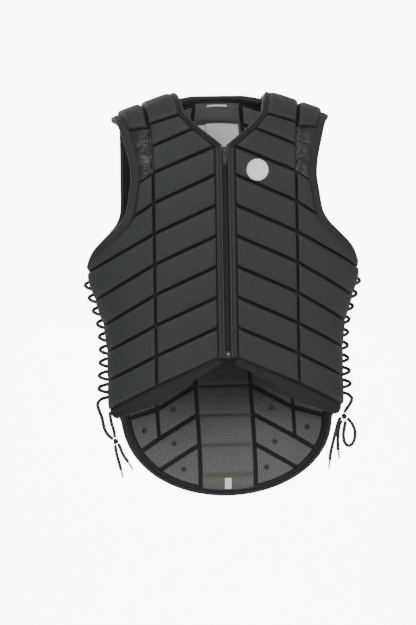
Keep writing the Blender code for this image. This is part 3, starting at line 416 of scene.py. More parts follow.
def pad_point(side, kind, across_share, round_share):
    """A point of a pad's outer face and the direction out of it."""
    crest_edges, front_ends, back_ends = PADS[kind]
    crest_x = mix(crest_edges[0], crest_edges[1], across_share) * CHEST_HALF
    front_x, front_rows = mix_all(front_ends[0], front_ends[1], across_share)
    back_x, back_rows = mix_all(back_ends[0], back_ends[1], across_share)
    start = lean_at(front_x * CHEST_HALF, front_rows, FRONT)
    end = lean_at(back_x * CHEST_HALF, back_rows, BACK)
    lean = mix(start, end, round_share)
    towards = abs(lean / (start if lean < 0 else end))
    foot = (front_x if lean < 0 else back_x) * CHEST_HALF
    x = side * mix(crest_x, foot, towards)
    step = 1e-3
    point = arch_point(x, lean)
    along = arch_point(x, lean + step) - arch_point(x, lean - step)
    out = along.cross(arch_point(x + step, lean) - arch_point(x - step, lean)).normalized()
    if out.dot(point - Vector((0.5 * x, 0.0, point.z - 0.03))) < 0:
        out = -out
    return point, out


def lace_bulge(share):
    for start, end in zip(LACE_BULGE[:-1], LACE_BULGE[1:]):
        if share <= end[0]:
            return mix(start[1], end[1], (share - start[0]) / (end[0] - start[0]))
    return LACE_BULGE[-1][1]


def eyelet_line(rows):
    """Distance from the middle of the body to the line of the eyelets at a side."""
    return body_section(rows)[0] * SIDE_SHARE - 0.5 * (FOAM + GROOVE_DEPTH) + 0.001


def spaced_curve(places, values, at):
    """Smooth value at a position along unevenly spaced places."""
    index = 0
    while index < len(places) - 2 and places[index + 1] < at:
        index += 1
    before, after = max(index - 1, 0), min(index + 2, len(places) - 1)
    span = places[index + 1] - places[index]
    share = min(max((at - places[index]) / span, 0.0), 1.0)
    start = (values[index + 1] - values[before]) / (places[index + 1] - places[before]) * span
    end = (values[after] - values[index]) / (places[after] - places[index]) * span
    square, cube = share * share, share ** 3
    return (values[index] * (2 * cube - 3 * square + 1) + start * (cube - 2 * square + share)
            + values[index + 1] * (3 * square - 2 * cube) + end * (cube - square))


FRONT_ENDS = [front_line(row) for row in FRONT_LINES]
BACK_ENDS = [back_line(row) for row in BACK_LINES]
FRONT_AT = [row[1] for row in FRONT_LINES]
BACK_AT = [row[0] for row in BACK_LINES]
FRONT_SEAMS = [row[1] for row in FRONT_LINES if row[-1]]
BACK_SEAMS = [row[0] for row in BACK_LINES if row[-1]]


def ends_at(places, lines, at):
    """Ends of the row line at any height, with a smooth outer end."""
    index = 0
    while index < len(places) - 2 and places[index + 1] < at:
        index += 1
    share = (at - places[index]) / (places[index + 1] - places[index])
    ends = [mix_all(a, b, share) for a, b in zip(lines[index], lines[index + 1])]
    outer = tuple(spaced_curve(places, [line[-1][axis] for line in lines], at) for axis in (0, 1))
    return ends[:-1] + [outer]


def front_ends(at):
    """Ends of the front at any height."""
    ends = ends_at(FRONT_AT, FRONT_ENDS, at)
    if at < FRONT_AT[2]:
        ends[2] = ends[1]
    return ends


def back_ends(at):
    """Ends of the back at any height; in the tail the side follows its curve."""
    ends = ends_at(BACK_AT, BACK_ENDS, at)
    rows = -ends[3][1] / ROW_HEIGHT
    if at > BACK_AT[LAST_SIDE_LINE]:
        ends[3] = ends[2]
    elif rows > TAIL_CENTRE:
        drop = min((rows - TAIL_CENTRE) / TAIL_DROP, 1.0)
        ends[3] = (TAIL_HALF * CHEST_HALF * math.sqrt(1 - drop * drop), ends[3][1])
    return ends


def wall_place(ends, column, share):
    """x and z a share of the way across a column."""
    if share == 0.0 or ends[column] == ends[column + 1]:
        return ends[column]
    if share == 1.0:
        return ends[column + 1]
    return point_in_column(ends[column], ends[column + 1], share)


def fine_shares(length, step=FINE_STEP, seam_first=True):
    """Shares of a span for its lines: close together at its seams, even between."""
    near = [distance / length for distance in NEAR_SEAM]
    first = near if seam_first else [0.0]
    start, end = first[-1], 1 - near[-1]
    count = max(2, round((end - start) * length / step))
    even = [mix(start, end, number / count) for number in range(1, count)]
    return first + even + [1 - share for share in reversed(near[1:])]


def fine_rows(seams):
    """Heights of the lines between the stitched rows, and which of them are stitched."""
    heights, stitched = [], []
    for top, bottom in zip(seams[:-1], seams[1:]):
        stitched.append(len(heights))
        heights += [mix(top, bottom, share) for share in fine_shares((bottom - top) * ROW_HEIGHT)]
    stitched.append(len(heights))
    return heights + [seams[-1]], stitched


def grid(columns, rows):
    """A flat grid and the numbers of the lines that each of its vertices lies on."""
    shape = bmesh.new()
    bmesh.ops.create_grid(shape, x_segments=columns, y_segments=rows, size=0.5)
    across = shape.verts.layers.int.new("across")
    down = shape.verts.layers.int.new("down")
    for vert in shape.verts:
        vert[across] = round((vert.co.x + 0.5) * columns)
        vert[down] = round((vert.co.y + 0.5) * rows)
    return shape, across, down


def keep(name, shape, material, nodes=(), smooth=50):
    """Turn a bmesh into a finished piece of the vest that stands for these nodes."""
    bmesh.ops.recalc_face_normals(shape, faces=shape.faces)
    data = bpy.data.meshes.new(name)
    shape.to_mesh(data)
    shape.free()
    data.shade_smooth()
    data.set_sharp_from_angle(angle=math.radians(smooth))
    data.materials.append(material)
    made = bpy.data.objects.new(name, data)
    bpy.context.scene.collection.objects.link(made)
    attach(made, "vest")
    if nodes:
        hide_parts(*nodes)
    return made


def running_lengths(spots, columns, rows):
    """Metres round and metres down to every spot, along the grid's own lines."""
    round_to, down_to = {}, {}
    for j in range(rows + 1):
        for i in range(columns + 1):
            if (i, j) not in spots:
                continue
            here = spots[i, j][0]
            left, above = (i - 1, j), (i, j - 1)
            round_to[i, j] = down_to[i, j] = 0.0
            if left in spots:
                round_to[i, j] = round_to[left] + (here - spots[left][0]).length
            if above in spots:
                down_to[i, j] = down_to[above] + (here - spots[above][0]).length
    return round_to, down_to


def seam_distances(spots, columns, rows, seam_columns, seam_rows, is_seam):
    """For each spot its place on the cloth and its distance to the seams beside and above it."""
    round_to, down_to = running_lengths(spots, columns, rows)
    result = {}
    for (i, j) in spots:
        beside = [abs(round_to[k, j] - round_to[i, j]) for k in seam_columns
                  if (k, j) in spots and is_seam(k, j, True)]
        above = [ROW_SLANT * abs(down_to[i, k] - down_to[i, j]) for k in seam_rows
                 if (i, k) in spots and is_seam(i, k, False)]
        result[i, j] = (round_to[i, j], down_to[i, j], min(beside, default=0.1),
                        min(above, default=0.1))
    return result


def quilted(beside, above, width):
    """How deep the stitching pulls a spot in, from 0 in a block to 1 on a seam."""
    return 1 - (1 - math.exp(-beside / width)) * (1 - math.exp(-above / width))


def cloth_waves(point, distance):
    """Puckers beside a seam and broad soft dents within a block, in metres."""
    beside = math.exp(-distance / 0.0065)
    fine = noise.noise(point * 90.0) * beside
    broad = noise.noise(Vector((point.x * 17, point.y * 17, point.z * 30)) + Vector((7, 3, 1)))
    return PUCKER * fine + DENT * broad * (1 - beside)


def closed_wall(name, spots, columns, rows, facts, outer, inner, material, nodes, marks=None):
    """A wall over a grid of spots; outer and inner give each face's inset at a spot."""
    shape, across, down = grid(columns, rows)
    unused = [face for face in shape.faces
              if not all((v[across], v[down]) in spots for v in face.verts)]
    bmesh.ops.delete(shape, geom=unused, context="FACES")
    seam = shape.verts.layers.float.new("seam")
    channel = shape.verts.layers.float.new("channel")
    cloth = shape.loops.layers.uv.new("cloth")
    for vert in shape.verts:
        key = vert[across], vert[down]
        vert[seam], vert[channel] = marks[key] if marks else (min(facts[key][2:]), facts[key][3])
    for face in shape.faces:
        for loop in face.loops:
            loop[cloth].uv = facts[loop.vert[across], loop.vert[down]][:2]
    front = list(shape.verts)
    grown = bmesh.ops.extrude_face_region(shape, geom=shape.faces[:], use_keep_orig=True)
    back = [item for item in grown["geom"] if isinstance(item, bmesh.types.BMVert)]
    for verts, inset in ((front, outer), (back, inner)):
        for vert in verts:
            key = vert[across], vert[down]
            point, out = spots[key]
            vert.co = point - out * inset(key)
    return keep(name, shape, material, nodes)


def front_panel(label, side):
    """One quilted front, with a seam down its middle."""
    shares, outer_shares = (fine_shares(width) for width in COLUMN_WIDTHS)
    lines = [(0, share) for share in shares] + [(1, share) for share in outer_shares] + [(1, 1.0)]
    seam_columns = (0, len(shares), len(lines) - 1)
    heights, seam_rows = fine_rows(FRONT_SEAMS)
    spots = {}
    for j, at in enumerate(heights):
        ends = front_ends(at)
        for i, (column, share) in enumerate(lines):
            if column == 1 and share > 0 and at < FRONT_AT[2]:
                continue
            x, z = wall_place(ends, column, share)
            spots[i, j] = surface(side * x, z, FRONT)
    columns, rows = len(lines) - 1, len(heights) - 1
    facts = seam_distances(spots, columns, rows, seam_columns, seam_rows, lambda i, j, beside: True)

    def outer(key):
        _, _, beside, above = facts[key]
        pulled = quilted(beside, above, SEAM_WIDTH)
        if heights[key[1]] > FRONT_AT[7] and key[0] > seam_columns[1]:
            to_side = facts[columns, key[1]][0] - facts[key][0]
            pulled *= 1 - 0.55 * math.exp(-to_side / 0.012)
        return GROOVE_DEPTH * pulled - cloth_waves(spots[key][0], min(beside, above))

    def inner(key):
        _, _, beside, above = facts[key]
        return FOAM - 0.002 * quilted(beside, above, SEAM_WIDTH)

    name = f"front_panel_{label}"
    made = closed_wall(f"quilted_front_{label}", spots, columns, rows, facts, outer, inner,
                       FINISH["nylon"], [name])


def back_grid():
    """Spots of the whole back, with the numbers of its seams across and down."""
    spine = fine_shares(SPINE * CHEST_HALF, seam_first=False)
    middle = fine_shares((SEAM_SHARE - SPINE) * CHEST_HALF)
    outer = fine_shares(COLUMN_WIDTHS[1])
    half = [(0, s) for s in spine] + [(1, s) for s in middle] + [(2, s) for s in outer] + [(2, 1.0)]
    lines = [(column, share, -1) for column, share in reversed(half[1:])]
    lines += [(column, share, 1) for column, share in half]
    heights, seam_rows = fine_rows(BACK_SEAMS)
    spots = {}
    for j, at in enumerate(heights):
        ends = back_ends(at)
        last = back_ends(BACK_AT[-2])
        for i, (column, share, side) in enumerate(lines):
            if column == 2 and share > 0 and at > BACK_AT[LAST_SIDE_LINE]:
                continue
            x, z = wall_place(ends, column, share)
            if at > BACK_AT[-2]:
                fall = (at - BACK_AT[-2]) / (BACK_AT[-1] - BACK_AT[-2])
                z = mix(wall_place(last, column, share)[1], tail_edge(x), fall)
            spots[i, j] = surface(side * x, z, BACK)
    seam_columns = [i for i, (column, share, _) in enumerate(lines)
                    if (share == 0.0 and column > 0) or share == 1.0]
    return lines, heights, spots, seam_columns, seam_rows


def back_seams(lines, heights):
    """Whether a line of the back's grid is stitched at a spot."""
    def is_seam(i, j, beside):
        column, share, _ = lines[i]
        if beside:
            ended = column == 2 and share == 0.0 and heights[j] > BACK_AT[LAST_SEAM_LINE]
            return not ended or heights[j] > BACK_AT[LAST_SIDE_LINE]
        return not (column > 0 and share > 0 and heights[j] == BACK_AT[-2])
    return is_seam


def back_walls():
    """The quilted back and, inside it, the mesh lining, whose wide seams its finish paints
    near-black as shade.
    """
    lines, heights, spots, seam_columns, seam_rows = back_grid()
    columns, rows = len(lines) - 1, len(heights) - 1
    is_seam = back_seams(lines, heights)
    facts = seam_distances(spots, columns, rows, seam_columns, seam_rows, is_seam)

    def outer(key):
        _, _, beside, above = facts[key]
        pulled = quilted(beside, above, SEAM_WIDTH)
        return GROOVE_DEPTH * pulled - cloth_waves(spots[key][0], min(beside, above))

    def puff(key):
        _, _, beside, above = facts[key]
        if lines[key[0]][0] == 0 and heights[key[1]] > 0.5:
            above = above * 1.5 + 0.0012
        return LINING_PUFF * (1 - quilted(max(beside - 0.002, 0), max(above - 0.002, 0), 0.0022))

    quilt = closed_wall("quilted_back", spots, columns, rows, facts, outer,
                        lambda key: FOAM, FINISH["nylon"], ["back_panel"])
    marks = {}
    for key, (_, _, beside, above) in facts.items():
        in_spine = lines[key[0]][0] == 0
        marks[key] = (beside, above) if in_spine else (min(beside, above), 0.1)
    lining = closed_wall("mesh_lining", spots, columns, rows, facts, lambda key: FOAM + GAP,
                         lambda key: FOAM + GAP + LINING + puff(key), FINISH["mesh"],
                         ["back_mesh_lining"], marks)


def smoothed(path, rounds):
    """Stations with their points and directions evened out between the two ends."""
    for _ in range(rounds):
        evened = [path[0]]
        for before, here, after in zip(path[:-2], path[1:-1], path[2:]):
            point = here[0] * 0.5 + (before[0] + after[0]) * 0.25
            out = (here[1] * 0.5 + (before[1] + after[1]) * 0.25).normalized()
            width = [0.5 * b + 0.25 * (a + c) for a, b, c in zip(before[2:], here[2:], after[2:])]
            evened.append((point, out, *width))
        path = evened + [path[-1]]
    return path


def resampled(path, step):
    """Stations at equal distances along a path."""
    lengths = [0.0]
    for before, here in zip(path[:-1], path[1:]):
        lengths.append(lengths[-1] + (here[0] - before[0]).length)
    count = max(2, round(lengths[-1] / step))
    result, index = [], 0
    for number in range(count + 1):
        target = lengths[-1] * number / count
        while index < len(path) - 2 and lengths[index + 1] < target:
            index += 1
        span = max(lengths[index + 1] - lengths[index], 1e-9)
        share = (target - lengths[index]) / span
        start, end = path[index], path[index + 1]
        out = start[1].lerp(end[1], share).normalized()
        result.append((start[0].lerp(end[0], share), out,
                       *(mix(a, b, share) for a, b in zip(start[2:], end[2:]))))
    return result


def tube(name, frames, outline, sides, material, nodes=()):
    """A closed skin round frames (centre, across, out); outline gives both offsets at a corner."""
    stations = len(frames) - 1
    shape, around, along = grid(sides, stations)
    lengths = [0.0]
    for before, here in zip(frames[:-1], frames[1:]):
        lengths.append(lengths[-1] + (here[0] - before[0]).length)
    cloth = shape.loops.layers.uv.new("cloth")
    for face in shape.faces:
        for loop in face.loops:
            loop[cloth].uv = (loop.vert[around] / sides, lengths[loop.vert[along]])
    for vert in shape.verts:
        centre, across, out = frames[vert[along]][:3]
        sideways, outwards = outline(vert[around] / sides, vert[along])
        vert.co = centre + across * sideways + out * outwards
    bmesh.ops.remove_doubles(shape, verts=shape.verts, dist=1e-6)
    bmesh.ops.holes_fill(shape, edges=[edge for edge in shape.edges if edge.is_boundary], sides=0)
    return keep(name, shape, material, nodes)


def binding(name, path, overlap, turn_side, rolls, finish_name, node):
    """A rolled binding beside an edge; stations are (point, out, width, thickness)."""
    frames, sizes = [], []
    for number, (point, out, width, thick) in enumerate(path):
        ahead = path[min(number + 1, len(path) - 1)][0] - path[max(number - 1, 0)][0]
        tangent = ahead.normalized()
        across = tangent.cross(out).normalized() * turn_side
        outwards = across.cross(tangent).normalized()
        outwards = outwards if outwards.dot(out) > 0 else -outwards
        full = width + overlap
        frames.append((point + across * (0.5 * full - overlap), across, outwards))
        sizes.append((0.5 * full, 0.5 * thick))

    def outline(share, station):
        turn = 2 * math.pi * share
        half, deep = sizes[station]
        flat = signed_power(math.cos(turn), 0.75)
        roll_turn = rolls * math.pi * 0.5 * (flat + 1) - math.pi * 0.5
        ridges = 1 - 0.30 * (1 - abs(math.cos(roll_turn)) ** 0.55)
        if abs(flat) > 0.97:
            ridges = 0.8
        wave = 0.0003 * noise.noise(frames[station][0] * 120.0 + Vector((flat, 0, 0)))
        return half * flat, deep * signed_power(math.sin(turn), 0.7) * ridges + wave

    made = tube(name, frames, outline, 36, FINISH[finish_name], [node])
    return made


def edge_stations(points, facing, side, width, thick, inset=WALL_MIDDLE):
    """Stations of a binding along points of the front or back."""
    stations = []
    for x, z in points:
        point, out = surface(side * x, z, facing)
        stations.append((point - out * inset, out, width, thick))
    return stations


def pad_stations(side, kind, across_share, shares, width, thick, inset=WALL_MIDDLE):
    """Stations of a binding over the shoulder, beside a pad."""
    stations = []
    for share in shares:
        point, out = pad_point(side, kind, across_share, share)
        stations.append((point - out * inset, out, width, thick))
    return stations


def steps(start, end, count):
    return [mix(start, end, number / count) for number in range(count + 1)]


def neck_binding():
    """The roll round the neck, in one run from zip to zip."""
    def half(side):
        front = [front_ends(at)[0] for at in steps(FRONT_AT[2] - 0.02, FRONT_AT[0], 24)]
        corner, above = Vector(front[0]), Vector(front[3])
        down = (corner - above).normalized()
        front = [tuple(corner + down * reach) for reach in (0.009, 0.006, 0.003)] + front
        path = edge_stations(front, FRONT, side, NECK_BINDING, BINDING_THICK, NECK_INSET)
        path += pad_stations(side, "inner", 0.0, steps(0.02, 0.98, 24), NECK_BINDING,
                             BINDING_THICK, NECK_INSET)
        top = back_ends(BACK_AT[0])
        back = [(x, top[0][1]) for x in steps(top[1][0], 0.0, 12)]
        return path + edge_stations(back, BACK, side, NECK_BINDING, BINDING_THICK, NECK_INSET)

    path = half(-1) + half(1)[-2::-1]
    binding("neck_roll", smoothed(resampled(path, BINDING_STEP), 4), 0.0022, 1, 2, "binding",
            "neck_binding")


def armhole_band(label, side):
    """The padded band round an armhole."""
    front = [front_ends(at)[2] for at in steps(FRONT_AT[7], FRONT_AT[2] + 0.01, 40)]
    gathers = [(end * CHEST_HALF, -rows * ROW_HEIGHT) for _, rows, _, end, _ in GATHERS[-2:0:-1]]
    path = edge_stations(front + gathers, FRONT, side, ARMHOLE_BAND, BINDING_THICK)
    path += pad_stations(side, "outer", 1.0, steps(0.03, 0.97, 24), ARMHOLE_BAND, BINDING_THICK)
    back = [back_ends(at)[3] for at in steps(BACK_AT[1], BACK_AT[7], 50)]
    path += edge_stations(back, BACK, side, ARMHOLE_BAND, BINDING_THICK)
    binding(f"armhole_roll_{label}", smoothed(resampled(path, BINDING_STEP), 6), 0.0022, side, 3,
            "binding", f"armhole_band_{label}")


def hem_and_side(label, side):
    """The front hem's band, widest below the seam, then the narrow binding up the side."""
    hem = FRONT_ENDS[-1]
    thick = FOAM - GROOVE_DEPTH
    points = [wall_place(hem, 0, share) for share in steps(0.0, 1.0, 20)]
    points += [wall_place(hem, 1, share) for share in steps(0.05, 1.0, 20)]
    path = edge_stations(points, FRONT, side, 0.0, thick)
    knots = [0.0, 10.0, 20.0, 20 + 20 * 0.35, 40.0]
    path = [(point, out, spaced_curve(knots, HEM_BAND, number), deep)
            for number, (point, out, _, deep) in enumerate(path)]
    side_line = [front_ends(at)[2] for at in steps(FRONT_AT[-1] - 0.02, FRONT_AT[7], 60)]
    path += edge_stations(side_line, FRONT, side, EDGE_BINDING, thick)
    binding(f"hem_roll_{label}", smoothed(resampled(path, BINDING_STEP), 3), 0.002, side, 2, "hem",
            f"front_edge_binding_{label}")


def tail_binding():
    """The roll round the tail and the narrow binding up the back's sides."""
    thick = FOAM - GROOVE_DEPTH
    side_line = [(back_ends(at)[3], EDGE_BINDING, thick)
                 for at in steps(BACK_AT[7], BACK_AT[12], 50)]
    side_line += [(back_ends(at)[3], TAIL_BINDING, BINDING_THICK)
                  for at in steps(BACK_AT[12] + 0.15, BACK_AT[15], 40)]
    start = BACK_ENDS[LAST_SIDE_LINE][3][0]
    side_line += [((x, tail_edge(x)), TAIL_BINDING, BINDING_THICK)
                  for x in steps(start - 0.004, 0.0, 40)]

    def half(side):
        path = []
        for point, width, deep in side_line:
            path += edge_stations([point], BACK, side, width, deep)
        return path

    path = half(1) + half(-1)[-2::-1]
    binding("tail_roll", smoothed(resampled(path, 0.0045), 4), 0.0024, 1, 2, "binding",
            "tail_binding")


class Wire:
    """A shader socket that can be added, multiplied and subtracted like a number."""

    def __init__(self, tree, socket=None):
        self.tree, self.socket = tree, socket

    def node(self, kind, settings=(), values=(), output=0):
        """Any other node: its type, its settings and what goes into its sockets."""
        made = self.tree.nodes.new(kind)
        for name, value in dict(settings).items():
            setattr(made, name, value)
        for name, value in dict(values).items():
            if isinstance(value, Wire):
                self.tree.links.new(value.socket, made.inputs[name])
            else:
                made.inputs[name].default_value = value
        return Wire(self.tree, made.outputs[output])

    def maths(self, operation, *values):
        return self.node("ShaderNodeMath", {"operation": operation}, enumerate(values))

    def __add__(self, other):
        return self.maths("ADD", self, other)

    def __sub__(self, other):
        return self.maths("SUBTRACT", self, other)

    def __rsub__(self, other):
        return self.maths("SUBTRACT", other, self)

    def __mul__(self, other):
        return self.maths("MULTIPLY", self, other)

    def __abs__(self):
        return self.maths("ABSOLUTE", self)

    __radd__, __rmul__ = __add__, __mul__

    def wave(self, length):
        """A sine from -1 to 1 with this wavelength."""
        return self.maths("SINE", self * (2 * math.pi / length))

    def below(self, edge, softness):
        """1 under the edge, falling to 0 over the softness."""
        steps_down = {0: self, 1: edge, 2: edge + softness, 3: 1.0, 4: 0.0}
        return self.node("ShaderNodeMapRange", {"interpolation_type": "SMOOTHSTEP"}, steps_down)

    def blend(self, low, high):
        """A colour between two, by this socket."""
        return self.node("ShaderNodeMix", {"data_type": "RGBA"}, {0: self, 6: low, 7: high}, 2)

    def noise(self, scale, detail=3.0, vector=None):
        vector = vector or self.node("ShaderNodeTexCoord", output="Object")
        values = {"Vector": vector, "Scale": scale, "Detail": detail}
        return self.node("ShaderNodeTexNoise", (), values)

    def attribute(self, name):
        return self.node("ShaderNodeAttribute", {"attribute_name": name}, output="Fac")

    def cloth(self):
        """The two directions of the cloth in metres, from the piece's UV map."""
        uv = self.node("ShaderNodeUVMap", {"uv_map": "cloth"})
        return uv.part(0), uv.part(1)

    def part(self, axis):
        """One number of a vector: 0, 1 or 2."""
        return self.node("ShaderNodeSeparateXYZ", (), {0: self}, axis)

    def where(self, axis):
        """How far along one axis of the vest a point lies."""
        return self.node("ShaderNodeTexCoord", output="Object").part(axis)


def finish(name, build, roughness=0.6, metallic=0.0, sheen=0.0, coat=0.0, depth=0.001,
           strength=0.5):
    """A material whose colour, roughness and height come from a function of its base wire."""
    made = bpy.data.materials.new(name)
    made.use_nodes = True
    shader = made.node_tree.nodes["Principled BSDF"]
    shader.inputs["Metallic"].default_value = metallic
    shader.inputs["Sheen Weight"].default_value = sheen
    shader.inputs["Sheen Roughness"].default_value = 0.5
    shader.inputs["Coat Weight"].default_value = coat
    base = Wire(made.node_tree)
    colour, rough, height = build(base, roughness)
    links = made.node_tree.links
    links.new(colour.socket, shader.inputs["Base Color"])
    links.new(rough.socket, shader.inputs["Roughness"])
    bump = base.node("ShaderNodeBump", (),
                     {"Strength": strength, "Distance": depth, "Height": height})
    links.new(bump.socket, shader.inputs["Normal"])
    FINISH[name] = made


def grey(value, tint=(1.0, 1.0, 1.0)):
    return (value * tint[0], value * tint[1], value * tint[2], 1.0)


COOL, WARM, TAN = (0.84, 1.0, 1.14), (1.03, 1.0, 0.99), (1.25, 1.0, 0.72)


def quilt_nylon(base, roughness):
    """Woven nylon with painted light: bluer and lighter on the -X half as if lit, darker and more
    neutral on the +X half as if shaded, painted shade in its stitched channels and a painted
    highlight beside them.
    """
    u, v = base.cloth()
    weave = u.wave(0.0012) * v.wave(0.0012)
    grain = base.noise(900.0, 4.0)
    mottle = base.noise(14.0, 2.0)
    seam = base.attribute("seam")
    # Painted light and shade: the -X half is painted lighter and bluer, as if lit, and the +X half
    # darker and more neutral, as if in shade
    painted_shade_side_mask = 1 - base.where(0).below(-0.10, 0.18)
    specks = base.noise(330.0, 2.0)
    shade = 0.05 + 0.42 * grain + 0.06 * weave + 0.22 * mottle + 0.42 * specks
    painted_lit_side = shade.blend(grey(NYLON_DARK, COOL), grey(NYLON_LIGHT, COOL))
    painted_shaded_side = shade.blend(grey(NYLON_DARK, WARM), grey(0.82 * NYLON_LIGHT, WARM))
    plain = painted_shade_side_mask.blend(painted_lit_side, painted_shaded_side)
    # Painted highlight: a lighter band just beside each stitched channel, where the block rounds
    # over into it
    rim = seam.below(0.0052, 0.0016) * (1 - seam.below(0.0028, 0.0014))
    with_painted_highlight = (rim * 0.16).blend(plain, grey(0.06))
    thread = seam.below(0.0003, 0.0003) * ((u + v).wave(0.0032) * 0.5 + 0.5)
    # Painted shade: the stitched channels are painted near-black, as shade in the grooves
    channel = seam.below(0.0010, 0.0022)
    dark = (channel * 0.95).blend(with_painted_highlight, grey(0.001))
    colour = (thread * 0.5).blend(dark, grey(0.03))
    rough = roughness + 0.12 * (grain - 0.5)
    return colour, rough, 0.35 * weave + 0.5 * grain + 0.6 * thread


def satin_nylon(base, roughness):
    """Shiny plain nylon with fine ribs that catch the light."""
    u, v = base.cloth()
    ribs = v.wave(0.0014)
    grain = base.noise(700.0, 3.0)
    broad = base.noise(60.0, 2.0)
    colour = (0.25 + 0.5 * broad + 0.1 * grain).blend(grey(0.007, COOL), grey(0.020, COOL))
    return colour, roughness + 0.15 * (broad - 0.5), 0.3 * ribs + 0.3 * grain + 0.05 * u


def ribbed_binding(base, roughness):
    """Dark ribbed tape, rolled twice, with a fine line of stitches."""
    u, v = base.cloth()
    ribs = v.wave(0.0017)
    grain = base.noise(800.0, 3.0)
    stitch = abs(u - 0.25).below(0.008, 0.006) * (v.wave(0.0034) * 0.5 + 0.5)
    plain = (0.2 + 0.5 * grain + 0.15 * ribs).blend(grey(0.004), grey(0.012, COOL))
    colour = (stitch * 0.4).blend(plain, grey(0.03))
    return colour, roughness + 0.1 * (grain - 0.5), 0.6 * ribs + 0.3 * grain


def dotted_mesh(base, roughness):
    """Light grey mesh full of small round holes over tan foam; its sewn seams are painted
    near-black as shade in their grooves, and a band below the front's hem is painted shadow.
    """
    u, v = base.cloth()
    pitch = 0.0062
    holes = abs(u.wave(pitch) * v.wave(pitch))
    open_share = 1 - holes.below(0.34, 0.2)
    grain = base.noise(420.0, 3.0)
    mottle = base.noise(30.0, 3.0)
    z = base.where(2)
    seam, channel = base.attribute("seam"), base.attribute("channel")
    mesh = 0.2 + 0.6 * grain + 0.2 * mottle
    threads = mesh.blend(grey(0.085, (0.95, 1.0, 1.04)), grey(0.22))
    foam = mottle.blend(grey(0.02, TAN), grey(0.05, TAN))
    plain = (open_share * 0.85).blend(threads, foam)
    tan = (channel.below(0.002, 0.006) * 0.7).blend(plain, grey(0.09, TAN))
    # Painted shadow: the lining is darkened between about z -0.53 and -0.18, strongest from -0.43
    # to -0.30, where the front's hem shades the back's inside
    painted_shadow_under_hem = (1 - z.below(-0.53, 0.10)) * z.below(-0.30, 0.12) * 0.72
    shaded = painted_shadow_under_hem.blend(tan, grey(0.012))
    # Painted shade: within about 3 to 4 mm of a seam the lining is painted near-black, as shade in
    # the sewn grooves
    colour = seam.below(0.0032, 0.0010).blend(shaded, grey(0.004))
    height = 1.0 * holes.below(0.42, 0.2) + 0.4 * grain
    return colour, roughness + 0.1 * (grain - 0.5), height


def white_weave(base, roughness):
    """Close white satin weave with a row of stitches just inside its edge."""
    u, v = base.cloth()
    weave = u.wave(0.0007) * v.wave(0.0007)
    grain = base.noise(500.0, 3.0)
    seam = base.attribute("seam")
    stitch = seam.below(0.0022, 0.0004) * (1 - seam.below(0.0014, 0.0004))
    shade = 0.4 * grain + 0.1 * weave + 0.3
    plain = shade.blend(grey(0.88, (1, 1, 0.98)), grey(0.96, (1, 1, 0.99)))
    dashes = stitch * ((u + v).wave(0.0026) * 0.5 + 0.5)
    colour = (dashes * 0.5).blend(plain, grey(0.35))
    return colour, roughness + 0.1 * grain, weave * 0.3 + grain * 0.3


def braided_lace(base, roughness):
    """Round braid: two sets of slanting strands that cross."""
    u, v = base.cloth()
    first = (u * 0.0157 + v).wave(0.0026)
    second = (u * 0.0157 - v).wave(0.0026)
    braid = first.maths("MAXIMUM", first, second)
    grain = base.noise(900.0, 2.0)
    colour = (0.35 * braid + 0.4 * grain + 0.15).blend(grey(0.012), grey(0.048, COOL))
    return colour, roughness + 0.1 * (grain - 0.5), braid + 0.2 * grain


def zip_tape(base, roughness):
    """Brownish grey tape with a painted highlight along its rolled edge beside the coil."""
    u, v = base.cloth()
    away = abs(base.where(0))
    ribs = v.wave(0.0013)
    grain = base.noise(800.0, 3.0)
    shade = 0.3 + 0.4 * grain + 0.1 * ribs
    plain = shade.blend(grey(0.008, COOL), grey(0.022, (1.05, 1.0, 0.96)))
    # Painted highlight: a light stripe about 5 to 7.5 mm from the zip's middle, along the tape's
    # rolled edge
    edge = away.below(0.0068, 0.0008) * (1 - away.below(0.0052, 0.0004))
    colour = (edge * 0.5).blend(plain, grey(0.11))
    return colour, roughness + 0.1 * grain, ribs * 0.4 + grain * 0.4 + 0.01 * u


def plain_finish(low, high, tint, scale):
    """A build function for a smooth surface with a faint grain."""
    def build(base, roughness):
        grain = base.noise(scale, 4.0)
        scratches = base.noise(scale * 4, 2.0)
        colour = (0.2 + 0.6 * grain).blend(grey(low, tint), grey(high, tint))
        return colour, roughness + 0.2 * (scratches - 0.5), 0.5 * grain + 0.3 * scratches
    return build


